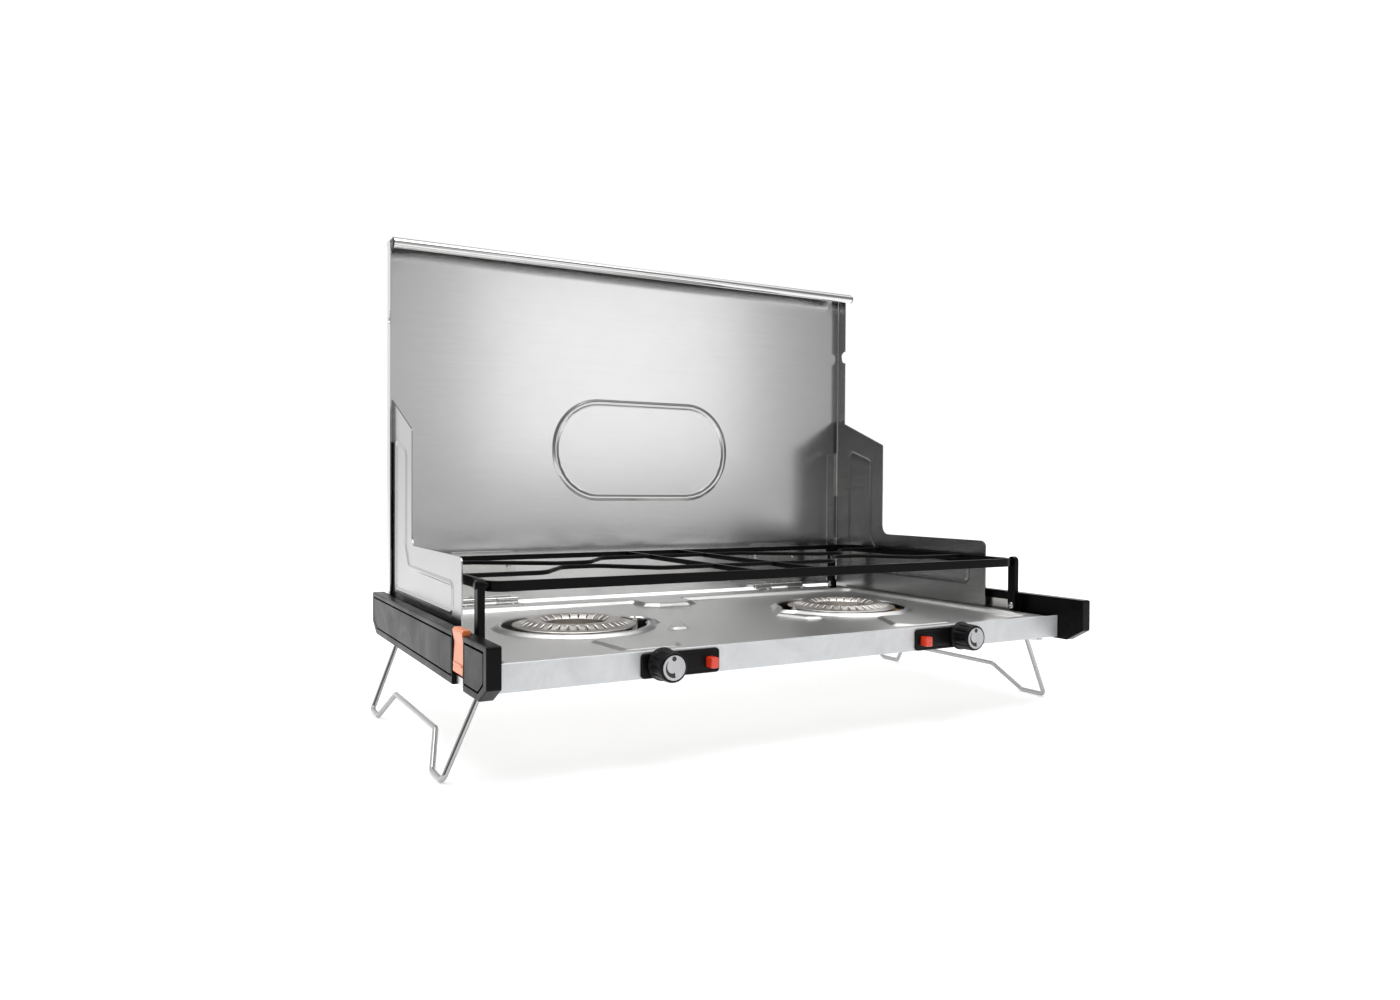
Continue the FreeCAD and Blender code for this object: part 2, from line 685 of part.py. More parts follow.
def knob(name, side):
    """Round grip with finger grooves, bored for the valve stem, and the pale disc in its face."""
    grip_length = "knob_rear_y - knob_front_y"
    body = new_body("Grip" + name)
    profile = sketch_on(body, "XZ_Plane")
    outline(profile, [("0", "0"), ("knob_back", "0"), ("knob_back - 0.3", "3"),
                      ("knob_face + 0.7", f"{grip_length} - 1"), ("knob_face", grip_length),
                      ("knob_face - 1", grip_length),
                      ("knob_face - 1", f"{grip_length} - 1"), ("0", f"{grip_length} - 1")])
    revolve(body, profile)
    bore = sketch_on(body, "XY_Plane")
    ring(bore, ("0", "0"), "stem_radius")
    pocket(body, bore, "10.2", backwards=True)
    groove = sketch_on(body, "XY_Plane", "3")
    ring(groove, ("knob_back + 2.2", "0"), "3")
    scallop = pocket(body, groove, f"{grip_length} - 6", backwards=True)
    pattern = body.newObject("PartDesign::PolarPattern", "Grooves")
    pattern.Originals = [scallop]
    pattern.Axis = (groove, ["N_Axis"])
    pattern.Angle = 360
    pattern.Occurrences = 10
    body.Tip = pattern
    doc.recompute()
    body.Placement.Rotation = FreeCAD.Rotation(X_AXIS, 90)
    place(body, [f"{side} * burner_x", "knob_rear_y", "control_z"])
    part(body, f"knob_grip_{name}")
    face = rod([f"{side} * burner_x", "knob_front_y + 1", "control_z"], Y_AXIS, "knob_face - 1.05", "-1")
    part(face, f"knob_face_{name}")


def button(name, side):
    """Igniter button: a block in the plate's opening on a round stalk."""
    x = f"{side} * button_x"
    block = span([f"{x} - button_wide / 2", "button_front_y", "button_z - button_tall / 2"],
                 [f"{x} + button_wide / 2", "tray_front - 1", "button_z + button_tall / 2"])
    stalk = rod([x, "tray_front - 2", "button_z"], Y_AXIS, "1.5", "15")
    part(fuse(block, stalk), f"button_{name}")


# ---------------------------------------------------------------- lid

def lid_panel():
    """Steel lid: a flat sheet with side walls, a deep front wall and notches for the post pivots."""
    inner_y = "lid_back - lid_sheet"
    low = "hinge_z + 0.5"
    outer = span(["-lid_half", "lid_back - lid_flange", low], ["lid_half", "lid_back", "lid_top"])
    inner = span(["-lid_half + lid_sheet", "lid_back - lid_flange - 5", f"{low} - 5"],
                 ["lid_half - lid_sheet", inner_y, "lid_top - lid_sheet"])
    wall = span(["-lid_half", "lid_back - hem_depth", "lid_top - lid_sheet"],
                ["lid_half", "lid_back - lid_flange + 0.5", "lid_top"])
    notches = [rod([f"{side} * lid_half - 5", "lid_back - lid_flange", "notch_z"], X_AXIS,
                   "notch_radius", "10")
               for side in SIDES.values()]
    part(cut(fuse(cut(outer, inner), wall), *notches), "lid_panel")


def lid_hem():
    """Rolled tube along the lid's front wall, closed by dark plugs."""
    axis_y, axis_z = "lid_back - hem_depth", "lid_top - lid_sheet - hem_radius"
    tube = rod(["-lid_half + 1", axis_y, axis_z], X_AXIS, "hem_radius", "2 * lid_half - 2")
    bore = rod(["-lid_half", axis_y, axis_z], X_AXIS, "hem_radius - 0.8", "2 * lid_half")
    part(cut(tube, bore), "lid_hem")
    plugs = []
    for side in SIDES.values():
        head = rod([f"{side} * (lid_half - 1)", axis_y, axis_z], X_AXIS, "hem_radius", f"{side} * 1.2")
        stalk = rod([f"{side} * (lid_half - 1)", axis_y, axis_z], X_AXIS, "hem_radius - 0.85", f"{side} * -8")
        plugs.append(fuse(head, stalk))
    part(group(*plugs), "hem_plugs")


def knuckle(side, start, length):
    """One tube of a lid hinge, start and length along X on the right-hand side."""
    at = [f"{side} * ({start})", "hinge_y", "hinge_z"]
    tube = rod(at, X_AXIS, "barrel_radius", f"{side} * {length}")
    bore = rod([f"{side} * ({start} - 1)", "hinge_y", "hinge_z"], X_AXIS, "hinge_pin_radius + running_gap",
               f"{side} * ({length} + 2)")
    return tube, bore


def lid_hinge(name, side):
    """Hinge with three knuckles: the outer two on the tray, the middle one on the lid."""
    first = "hinge_x - hinge_length / 2"
    third = "hinge_length / 3"
    tubes, bores = [], []
    for start in (first, f"{first} + 2 * {third} + 0.2"):
        tube, bore = knuckle(side, start, f"({third} - 0.2)")
        tubes.append(tube)
        bores.append(bore)
    leaf = side_span(side, [first, "tray_back - 17", "tray_top"],
                     [f"{first} + hinge_length", "hinge_y - 1", "tray_top + leaf_thick"])
    feet = [side_span(side, [start, "hinge_y - 2", "tray_top"],
                      [f"{start} + {third} - 0.2", "hinge_y + 2", "hinge_z"])
            for start in (first, f"{first} + 2 * {third} + 0.2")]
    clear = side_span(side, [f"{first} + {third} - 0.2", "hinge_y - 3.2", "tray_top - 1"],
                      [f"{first} + 2 * {third} + 0.2", "hinge_y + 5", "hinge_z + 5"])
    part(cut(fuse(leaf, *feet, *tubes), *bores, clear), f"tray_hinge_leaf_{name}")
    tube, bore = knuckle(side, f"{first} + {third} + 0.1", f"({third} - 0.2)")
    inner_y = "lid_back - lid_sheet"
    upright = side_span(side, [first, f"{inner_y} - leaf_thick", "hinge_z + 3.2"],
                        [f"{first} + hinge_length", inner_y, "hinge_z + 44"])
    arm = side_span(side, [f"{first} + {third} + 0.1", "hinge_y", "hinge_z + 1.6"],
                    [f"{first} + 2 * {third} - 0.1", f"{inner_y} - leaf_thick", "hinge_z + 2.4"])
    stem = side_span(side, [f"{first} + {third} + 0.1", f"{inner_y} - 2 * leaf_thick", "hinge_z + 1.6"],
                     [f"{first} + 2 * {third} - 0.1", f"{inner_y} - 0.01", "hinge_z + 3.3"])
    part(cut(fuse(upright, arm, stem, tube), bore), f"lid_hinge_leaf_{name}")


def hinge_pins():
    """Pins of the lid's two hinges, and of the hinges that carry the windscreens."""
    pins = [rod([f"{side} * (hinge_x - hinge_length / 2)", "hinge_y", "hinge_z"], X_AXIS, "hinge_pin_radius",
                f"{side} * hinge_length") for side in SIDES.values()]
    part(group(*pins), "lid_hinge_pins")
    pins = [rod([f"{side} * screen_x", "screen_axis_y", "hinge_z + 0.8"], Z_AXIS, "0.75", "3 * screen_knuckle")
            for side in SIDES.values()]
    part(group(*pins), "screen_pins")


def rivets():
    """Rivet heads on the lid's hinge leaves and on the tray's hinge leaves."""
    heads = []
    for side in SIDES.values():
        for across, up in ((-24, 30), (24, 30), (0, 14)):
            at = [f"{side} * (hinge_x + {across})", "lid_back - lid_sheet - leaf_thick", f"hinge_z + {up}"]
            heads.append(rod(at, Y_AXIS, "2.2", "-1"))
    part(group(*heads), "lid_rivets")
    heads = []
    for side in SIDES.values():
        for across in (-22, 22):
            at = [f"{side} * (hinge_x + {across})", "tray_back - 10", "tray_top + leaf_thick"]
            heads.append(rod(at, Z_AXIS, "2.2", "1"))
    part(group(*heads), "tray_rivets")


# ---------------------------------------------------------------- windscreens

def screen_leaves():
    """Upright hinge strips in the lid's corners, each with a knuckle above and below the screen's own."""
    leaves = []
    for side in SIDES.values():
        x, low = f"{side} * screen_x", "hinge_z + 0.8"
        inner_y = "lid_back - lid_sheet"
        leaf = side_span(side, ["screen_x - 12", f"{inner_y} - 0.7", low],
                         ["screen_x + 1", inner_y, f"{low} + 3 * screen_knuckle"])
        tubes, bores, webs = [], [], []
        for step in (0, 2):
            foot = f"{low} + {step} * screen_knuckle + 0.2"
            tubes.append(rod([x, "screen_axis_y", foot], Z_AXIS, "knuckle_radius", "screen_knuckle - 0.4"))
            bores.append(rod([x, "screen_axis_y", foot], Z_AXIS, "0.75 + running_gap", "screen_knuckle"))
            webs.append(side_span(side, ["screen_x - 0.6", "screen_axis_y", foot],
                                  ["screen_x + 0.6", f"{inner_y} - 0.5", f"{foot} + screen_knuckle - 0.4"]))
        leaves.append(cut(fuse(leaf, *webs, *tubes), *bores))
    part(group(*leaves), "screen_leaves")


def windscreen(name, side):
    """L-shaped steel side screen, hinged in the lid's corner on its middle knuckle."""
    back = "screen_axis_y - knuckle_radius - 0.5"
    body = new_body("Screen" + name)
    profile = sketch_on(body, "YZ_Plane", f"{side} * screen_x - screen_thick / 2")
    outline(profile, [(back, "screen_base"), (back, "screen_top"), ("screen_step_y", "screen_slope_z"),
                      ("screen_step_y", "screen_low"), ("screen_front", "screen_low"),
                      ("screen_front", "screen_base")])
    pad(body, profile, "screen_thick")

    def upper_front(edge):
        at = edge.CenterOfMass
        return runs_along(edge, X_AXIS) and abs(at.z - number("screen_low")) < 0.01

    rounded(body, 6.0, upper_front)
    low = "hinge_z + 0.8 + screen_knuckle + 0.2"
    tube = rod([f"{side} * screen_x", "screen_axis_y", low], Z_AXIS, "knuckle_radius", "screen_knuckle - 0.4")
    web = side_span(side, ["screen_x - 0.5", f"{back} - 0.5", low],
                    ["screen_x + 0.5", "screen_axis_y - 0.5", f"{low} + screen_knuckle - 0.4"])
    bore = rod([f"{side} * screen_x", "screen_axis_y", f"{low} - 1"], Z_AXIS,
               "0.75 + running_gap", "screen_knuckle + 2")
    part(cut(fuse(body, web, tube), bore), f"windscreen_{name}")


# ---------------------------------------------------------------- grate

def post(name, inner, width, y):
    """Flat bar with round ends and a pivot hole at each end; inner is its face nearest the middle."""
    body = new_body("Post" + name.replace("_", ""))
    profile = sketch_on(body, "YZ_Plane", inner)
    outline(profile, [(f"{y} - post_depth / 2", "post_low_z"), (f"{y} + post_depth / 2", "post_low_z"),
                      (f"{y} + post_depth / 2", "post_high_z"), (f"{y} - post_depth / 2", "post_high_z")])
    pad(body, profile, width)
    ends = [rod([inner, y, z], X_AXIS, "post_depth / 2", width) for z in ("post_low_z", "post_high_z")]
    holes = [rod([f"{inner} - 1", y, z], X_AXIS, "pivot_radius + running_gap", f"{width} + 2")
             for z in ("post_low_z", "post_high_z")]
    part(cut(fuse(body, *ends), *holes), f"post_{name}")


def post_pivots():
    """Ears on the stove's body that hold the posts' lower pivots, and the pivot screws."""
    ears, screws = [], []
    for side in SIDES.values():
        outer = "post_inner + post_width"
        ear = side_span(side, [f"{outer} + 0.4", "post_y - 6", "tray_base + sheet"],
                        [f"{outer} + 1.4", "post_y + 6", "post_low_z + 5"])
        hole = rod([f"{side} * ({outer})", "post_y", "post_low_z"], X_AXIS,
                   "pivot_radius + 0.02", f"{side} * 3")
        ears.append(cut(ear, hole))
        shaft = rod([f"{side} * (post_inner - 0.5)", "post_y", "post_low_z"], X_AXIS, "pivot_radius",
                    f"{side} * (post_width + 1.9)")
        head = rod([f"{side} * (post_inner - 0.3)", "post_y", "post_low_z"], X_AXIS, "2.8", f"{side} * -0.7")
        screws.append(fuse(shaft, head))
        inner = "back_post_x + post_width - 0.4"
        ear = side_span(side, [f"{inner} + 0.4", "back_post_y - 4.5", "tray_top"],
                        [f"{inner} + 1.6", "back_post_y + 4.5", "post_low_z + 4.5"])
        hole = rod([f"{side} * ({inner})", "back_post_y", "post_low_z"], X_AXIS,
                   "pivot_radius + 0.02", f"{side} * 3")
        ears.append(cut(ear, hole))
        shaft = rod([f"{side} * (back_post_x - 0.5)", "back_post_y", "post_low_z"], X_AXIS, "pivot_radius",
                    f"{side} * (post_width + 1.7)")
        head = rod([f"{side} * (back_post_x - 0.3)", "back_post_y", "post_low_z"], X_AXIS,
                   "2.8", f"{side} * -0.9")
        screws.append(fuse(shaft, head))
    part(group(*ears), "post_ears")
    part(group(*screws), "post_screws")


def bent_rod(points):
    """Square rod that follows a line of plan points, given as numbers, along the grate's top."""
    half = number("rod_size") / 2
    shapes = []
    low = number("grate_top - rod_size")
    tall = number("rod_size")
    for (x0, y0), (x1, y1) in zip(points, points[1:]):
        along = FreeCAD.Vector(x1 - x0, y1 - y0, 0).normalize()
        across = FreeCAD.Vector(-along.y, along.x, 0) * half
        start, end = FreeCAD.Vector(x0, y0, low), FreeCAD.Vector(x1, y1, low)
        loop = [start + across, end + across, end - across, start - across, start + across]
        shapes.append(Part.Face(Part.makePolygon(loop)).extrude(FreeCAD.Vector(0, 0, tall)))
    joints = [Part.makeCylinder(half, tall, FreeCAD.Vector(x, y, low)) for x, y in points[1:-1]]
    return shapes[0].multiFuse(shapes[1:] + joints).removeSplitter()


def wave_points(base, turn, first, bends):
    """Plan of a wave bar: it runs at base, and at each burner it bends to turn and back.

    first is where the bend starts on the left, and bends are the lengths of the way out, the flat and the way back."""
    reach, period = number("grate_side"), 262.0
    points = [(-reach, base)]
    for start in (first, first + period):
        out, flat, back = bends
        points += [(start, base), (start + out, turn), (start + out + flat, turn),
                   (start + out + flat + back, base)]
    return points + [(reach, base)]


def grate():
    """Pot support: a frame of flat bar on edge with rounded corners, two bent rods and two long bars."""
    frame = new_body("GrateFrame")
    plan = sketch_on(frame, "XY_Plane", "grate_top - strip_height")
    outer = "grate_side + strip_thick"
    front, back = "grate_front - strip_thick / 2", "grate_back + strip_thick / 2"
    outline(plan, [(f"-({outer})", front), (outer, front), (outer, back), (f"-({outer})", back)])
    pad(frame, plan, "strip_height")
    window = sketch_on(frame, "XY_Plane", "grate_top")
    outline(window, [("-grate_side", f"{front} + strip_thick"), ("grate_side", f"{front} + strip_thick"),
                     ("grate_side", f"{back} - strip_thick"), ("-grate_side", f"{back} - strip_thick")])
    pocket(frame, window, "strip_height")
    reach = number("grate_side + strip_thick / 2")
    rounded(frame, 9.0, lambda edge: runs_along(edge, Z_AXIS) and abs(edge.CenterOfMass.x) < reach)
    rounded(frame, 12.0, lambda edge: runs_along(edge, Z_AXIS) and abs(edge.CenterOfMass.x) > reach)
    lugs = []
    for side in SIDES.values():
        # stud and head for the front post, in the side bar
        lugs.append(rod([f"{side} * (grate_side + 0.5)", "post_y", "post_high_z"], X_AXIS, "pivot_radius",
                        f"{side} * (post_inner + post_width + 0.5 - grate_side)"))
        lugs.append(rod([f"{side} * (post_inner + post_width + 0.3)", "post_y", "post_high_z"], X_AXIS, "2.6",
                        f"{side} * 0.9"))
        # lug and stud for the back post, behind the back bar
        inner = "back_post_x + post_width"
        lugs.append(side_span(side, [inner, "grate_back", "grate_top - strip_height"],
                              [f"{inner} + 1.6", "back_post_y + 4", "grate_top"]))
        lugs.append(rod([f"{side} * ({inner} + 1)", "back_post_y", "post_high_z"], X_AXIS, "pivot_radius",
                        f"{side} * -(post_width + 1.6)"))
    # the back bar is slimmer than the rest of the frame
    slim = span(["-205", f"{back} - strip_thick - 1", "grate_top - strip_height - 1"],
                ["205", f"{back} + 1", "grate_top - bar_height"])
    part(cut(fuse(frame, *lugs), slim), "grate_frame")

    waves = {}
    for label, points in (("wave_bar_front", wave_points(-37.0, 2.0, -174.0, (28.0, 30.0, 37.0))),
                          ("wave_bar_back", wave_points(76.0, 38.0, -197.0, (62.0, 28.0, 28.0)))):
        feature = doc.addObject("Part::Feature", "WaveBar")
        feature.Shape = bent_rod(points)
        feature.Placement = FreeCAD.Placement()
        waves[label] = part(feature, label)
    long_bars = []
    for x in (-30, 26):
        long_bars.append(box([str(x), "(grate_front + grate_back) / 2", "grate_top - bar_height / 2"],
                             ["strip_thick", "grate_back - grate_front - strip_thick", "bar_height - 0.4"]))
    part(cut(group(*long_bars), *waves.values()), "long_bars")


# ---------------------------------------------------------------- legs

def leg(name, side):
    """Wire bail: two pivot ends, two feet and a raised middle bar, splayed outwards."""
    front, back = -107.0, 122.6
    reach, bar = number("foot_reach"), number("bar_reach")
    route = [(front - 17, 0), (front, 0), (front, reach), (-82.0, reach), (-55.5, bar),
             (63.5, bar), (84.0, reach), (107.5, reach), (back, 0), (back + 17, 0)]
    points = [FreeCAD.Vector(0, y, -down) for y, down in route]
    body_path = rounded_path(points, 4.5)
    profile = Part.Wire(Part.makeCircle(number("wire_radius"), points[0], Y_AXIS))
    wire = Part.Wire(body_path).makePipeShell([profile], True, True)
    feature = doc.addObject("Part::Feature", "LegWire")
    feature.Shape = wire
    turn = FreeCAD.Rotation(Y_AXIS, -side * number("leg_splay"))
    base = FreeCAD.Vector(side * number("leg_pivot_x"), 0, number("leg_pivot_z"))
    feature.Placement = FreeCAD.Placement(base, turn)
    part(feature, f"leg_{name}")


def rounded_path(points, radius):
    """Edges of straight runs joined by tangent arcs at every inner point."""
    edges, start = [], points[0]
    for before, corner, after in zip(points, points[1:], points[2:]):
        into = (before - corner).normalize()
        away = (after - corner).normalize()
        half_turn = into.getAngle(away) / 2
        setback = radius / math.tan(half_turn)
        first, last = corner + into * setback, corner + away * setback
        bisector = (into + away).normalize()
        middle = corner + bisector * (radius / math.sin(half_turn) - radius)
        edges.append(Part.makeLine(start, first))
        edges.append(Part.Arc(first, middle, last).toShape())
        start = last
    edges.append(Part.makeLine(start, points[-1]))
    return edges


def leg_clips():
    """Blocks under the side strips that hold the legs' pivot ends."""
    clips = []
    for side in SIDES.values():
        for y in ("-117", "132.6"):
            block = box([f"{side} * leg_pivot_x", y, "leg_pivot_z - 0.1"], ["8", "9", "5.2"])
            bore = rod([f"{side} * leg_pivot_x", f"{y} - 10", "leg_pivot_z"], Y_AXIS,
                       "wire_radius + running_gap", "20")
            clips.append(cut(block, bore))
    part(group(*clips), "leg_clips")


def latch_pin():
    """Pin across the rail's slot, on which the latch turns."""
    start = [f"{SIDES[LATCH_SIDE]} * latch_pin_x", "latch_y - slot_gap / 2 - 4", "latch_pin_z"]
    part(rod(start, Y_AXIS, "hinge_pin_radius", "slot_gap + 8"), "latch_pin")


def rail_screws():
    """Screw heads on the inner face of the rails, through the side strips."""
    heads = []
    for side in SIDES.values():
        for y in ("-85", "-60", "75", "135"):
            heads.append(rod([f"{side} * (overall_width / 2 - rail_thick - sheet)", y, "tray_base + 10"], X_AXIS,
                             "2.5", f"{side} * -1.2"))
    part(group(*heads), "rail_screws")


def build():
    tray()
    front_panel()
    bottom_cover()
    gas_pipes()
    gas_inlet()
    lid_panel()
    lid_hem()
    rivets()
    post_pivots()
    grate()
    latch_pin()
    latch_plate()
    latch()
    rail_screws()
    mixer_tubes()
    valves()
    igniters()
    electrodes()
    hinge_pins()
    screen_leaves()
    leg_clips()
    for name, side in SIDES.items():
        rail(name, side)
        side_bracket(name, side)
        burner_bowl(name, side)
        burner_cap(name, side)
        valve_stem(name, side)
        control_plate(name, side)
        knob(name, side)
        button(name, side)
        lid_hinge(name, side)
        windscreen(name, side)
        leg(name, side)
        inner = "post_inner" if side > 0 else "-post_inner - post_width"
        post(f"front_{name}", inner, "post_width", "post_y")
        inner = "back_post_x" if side > 0 else "-back_post_x - post_width + 0.4"
        post(f"back_{name}", inner, "post_width - 0.4", "back_post_y")


def check():
    """Stops if any object failed to compute or any sub-part has no valid solid."""
    for obj in doc.Objects:
        if "Invalid" in obj.State or "Error" in obj.State:
            raise RuntimeError(f"{obj.Name} ({obj.Label}): {obj.State}")
    for obj in parts:
        shape = obj.Shape
        if shape.isNull() or not shape.isValid() or not shape.Solids:
            raise RuntimeError(f"{obj.Label}: no valid solid")


build()
doc.recompute()
check()
os.makedirs("parts", exist_ok=True)
for obj in parts:
    obj.Shape.exportStep(f"parts/{obj.Label}.step")
print(len(parts), "sub-parts")
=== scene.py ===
import json
import math

import bmesh
import bpy
from mathutils import Euler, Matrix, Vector
from mathutils.geometry import delaunay_2d_cdt

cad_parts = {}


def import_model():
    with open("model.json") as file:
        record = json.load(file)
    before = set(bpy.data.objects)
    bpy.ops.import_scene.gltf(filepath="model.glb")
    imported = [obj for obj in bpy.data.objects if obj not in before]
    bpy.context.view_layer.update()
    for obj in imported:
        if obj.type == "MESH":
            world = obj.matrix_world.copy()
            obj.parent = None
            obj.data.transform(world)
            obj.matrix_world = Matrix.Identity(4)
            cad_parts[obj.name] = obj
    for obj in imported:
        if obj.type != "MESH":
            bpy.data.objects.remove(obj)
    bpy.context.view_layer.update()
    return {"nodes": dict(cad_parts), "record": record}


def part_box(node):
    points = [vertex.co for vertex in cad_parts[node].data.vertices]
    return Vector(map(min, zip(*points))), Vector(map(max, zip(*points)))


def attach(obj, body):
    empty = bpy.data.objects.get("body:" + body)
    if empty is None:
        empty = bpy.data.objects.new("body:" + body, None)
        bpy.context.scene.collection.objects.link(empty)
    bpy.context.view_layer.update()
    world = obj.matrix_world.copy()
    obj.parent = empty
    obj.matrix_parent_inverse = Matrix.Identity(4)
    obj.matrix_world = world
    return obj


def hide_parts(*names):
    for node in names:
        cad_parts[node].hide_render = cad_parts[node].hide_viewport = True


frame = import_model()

# The camp stove's looks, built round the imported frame. Lengths are in millimetres until a mesh is made.

MM = 0.001
SIDES = {"left": -1, "right": 1}


class Box:
    """The box of a CAD node, in millimetres."""

    def __init__(self, node):
        low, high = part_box(node)
        self.x0, self.y0, self.z0 = (c / MM for c in low)
        self.x1, self.y1, self.z1 = (c / MM for c in high)

    @property
    def mid(self):
        return ((self.x0 + self.x1) / 2, (self.y0 + self.y1) / 2, (self.z0 + self.z1) / 2)


def lerp(a, b, t):
    return a + (b - a) * t


# ------------------------------------------------------------------ shaders

class Shader:
    """A material with a principled shader and a few procedural layers."""

    def __init__(self, name, color, roughness, metallic=0.0, coat=0.0, specular=0.5):
        self.material = bpy.data.materials.new(name)
        self.material.use_nodes = True
        self.tree = self.material.node_tree
        self.bsdf = self.tree.nodes["Principled BSDF"]
        self.color = color
        self.roughness = roughness
        self.bsdf.inputs["Base Color"].default_value = (*color, 1)
        self.bsdf.inputs["Roughness"].default_value = roughness
        self.bsdf.inputs["Metallic"].default_value = metallic
        self.bsdf.inputs["Coat Weight"].default_value = coat
        self.bsdf.inputs["Coat Roughness"].default_value = 0.12
        self.bsdf.inputs["Specular IOR Level"].default_value = specular
        self.coord = self.add("ShaderNodeTexCoord").outputs["Object"]
        self.colors = []
        self.rough = []
        self.normal = None
        self.tinted = None

    def add(self, kind, **settings):
        node = self.tree.nodes.new(kind)
        for key, value in settings.items():
            setattr(node, key, value)
        return node

    def link(self, source, target):
        self.tree.links.new(source, target)

    def noise(self, scale, stretch=(1, 1, 1), detail=4.0, rough=0.55, distort=0.0):
        """Noise in the object's frame; stretch multiplies each axis, and a small number gives a streak."""
        mapping = self.add("ShaderNodeMapping")
        mapping.inputs["Scale"].default_value = stretch
        self.link(self.coord, mapping.inputs["Vector"])
        noise = self.add("ShaderNodeTexNoise")
        noise.inputs["Scale"].default_value = scale
        noise.inputs["Detail"].default_value = detail
        noise.inputs["Roughness"].default_value = rough
        noise.inputs["Distortion"].default_value = distort
        self.link(mapping.outputs["Vector"], noise.inputs["Vector"])
        return noise.outputs["Fac"]

    def spread(self, value, low, high, to_low, to_high):
        node = self.add("ShaderNodeMapRange")
        node.inputs["From Min"].default_value = low
        node.inputs["From Max"].default_value = high
        node.inputs["To Min"].default_value = to_low
        node.inputs["To Max"].default_value = to_high
        self.link(value, node.inputs["Value"])
        return node.outputs["Result"]

    def times(self, a, b, operation="MULTIPLY"):
        node = self.add("ShaderNodeMath", operation=operation)
        self.link(a, node.inputs[0])
        if isinstance(b, (int, float)):
            node.inputs[1].default_value = b
        else:
            self.link(b, node.inputs[1])
        return node.outputs[0]

    def shade(self, value, low, high, dark, light):
        """Multiplies the colour by a factor between dark and light."""
        self.colors.append(self.spread(value, low, high, dark, light))

    def gloss(self, value, low, high, less, more):
        """Adds between less and more to the roughness."""
        self.rough.append(self.spread(value, low, high, less, more))

    def bump(self, value, strength, depth):
        node = self.add("ShaderNodeBump")
        node.inputs["Strength"].default_value = strength
        node.inputs["Distance"].default_value = depth
        self.link(value, node.inputs["Height"])
        if self.normal is not None:
            self.link(self.normal, node.inputs["Normal"])
        self.normal = node.outputs["Normal"]

    def tint(self, value, low, high, other):
        """Mixes the colour towards another one where the value is high."""
        mix = self.add("ShaderNodeMix", data_type="RGBA")
        mix.inputs["A"].default_value = (*self.color, 1)
        mix.inputs["B"].default_value = (*other, 1)
        self.link(self.spread(value, low, high, 0.0, 1.0), mix.inputs["Factor"])
        self.tinted = mix.outputs["Result"]

    def done(self):
        total = None
        for factor in self.colors:
            total = factor if total is None else self.times(total, factor)
        source = self.tinted
        if total is not None:
            scale = self.add("ShaderNodeVectorMath", operation="SCALE")
            if source is None:
                scale.inputs[0].default_value = self.color
            else:
                self.link(source, scale.inputs[0])
            self.link(total, scale.inputs["Scale"])
            source = scale.outputs["Vector"]
        if source is not None:
            self.link(source, self.bsdf.inputs["Base Color"])
        total = None
        for extra in self.rough:
            total = extra if total is None else self.times(total, extra, "ADD")
        if total is not None:
            self.link(self.times(total, self.roughness, "ADD"), self.bsdf.inputs["Roughness"])
        if self.normal is not None:
            self.link(self.normal, self.bsdf.inputs["Normal"])
        return self.material


def brushed(name, color, roughness, along, grain=1.0, cloud=0.05, streak=0.03, smear=0.015, depth=0.06):
    """Brushed metal with its grain along an axis, cloudy stains and fine scratches."""
    shader = Shader(name, color, roughness, metallic=1.0)
    stretch = [1.0, 1.0, 1.0]
    stretch["xyz".index(along)] = 0.02
    fine = shader.noise(2600 * grain, stretch, detail=3)
    wide = shader.noise(520 * grain, stretch, detail=5, rough=0.7)
    clouds = shader.noise(11, detail=5, rough=0.6, distort=0.6)
    smears = shader.noise(34, detail=6, rough=0.7, distort=1.2)
    shader.shade(fine, 0.3, 0.7, 1 - streak, 1 + streak / 2)
    shader.shade(wide, 0.3, 0.7, 1 - streak, 1 + streak / 2)
    shader.shade(clouds, 0.3, 0.7, 1 - cloud, 1 + cloud / 2)
    shader.gloss(fine, 0.3, 0.7, -0.02, 0.02)
    shader.gloss(smears, 0.35, 0.7, -smear, smear)
    shader.bump(fine, depth, 0.0002)
    shader.bump(wide, depth / 2, 0.0002)
    return shader.done()


def coated(name, color, roughness, speck=900, depth=0.10, coat=0.0, worn=None, metallic=0.0, specular=0.5):
    """Paint or moulded plastic with a fine skin, dull patches and, where given, a worn colour."""
    shader = Shader(name, color, roughness, metallic=metallic, coat=coat, specular=specular)
    skin = shader.noise(speck, detail=4, rough=0.6)
    patches = shader.noise(26, detail=5, rough=0.65, distort=0.8)
    if worn is not None:
        rubs = shader.noise(150, detail=8, rough=0.75, distort=1.5)
        shader.tint(rubs, 0.68, 0.80, worn)
    shader.shade(patches, 0.3, 0.7, 0.86, 1.10)
    shader.shade(skin, 0.3, 0.7, 0.94, 1.05)
    shader.gloss(patches, 0.3, 0.7, -0.06, 0.09)
    shader.gloss(skin, 0.3, 0.7, -0.03, 0.04)
    shader.bump(skin, depth, 0.0002)
    return shader.done()


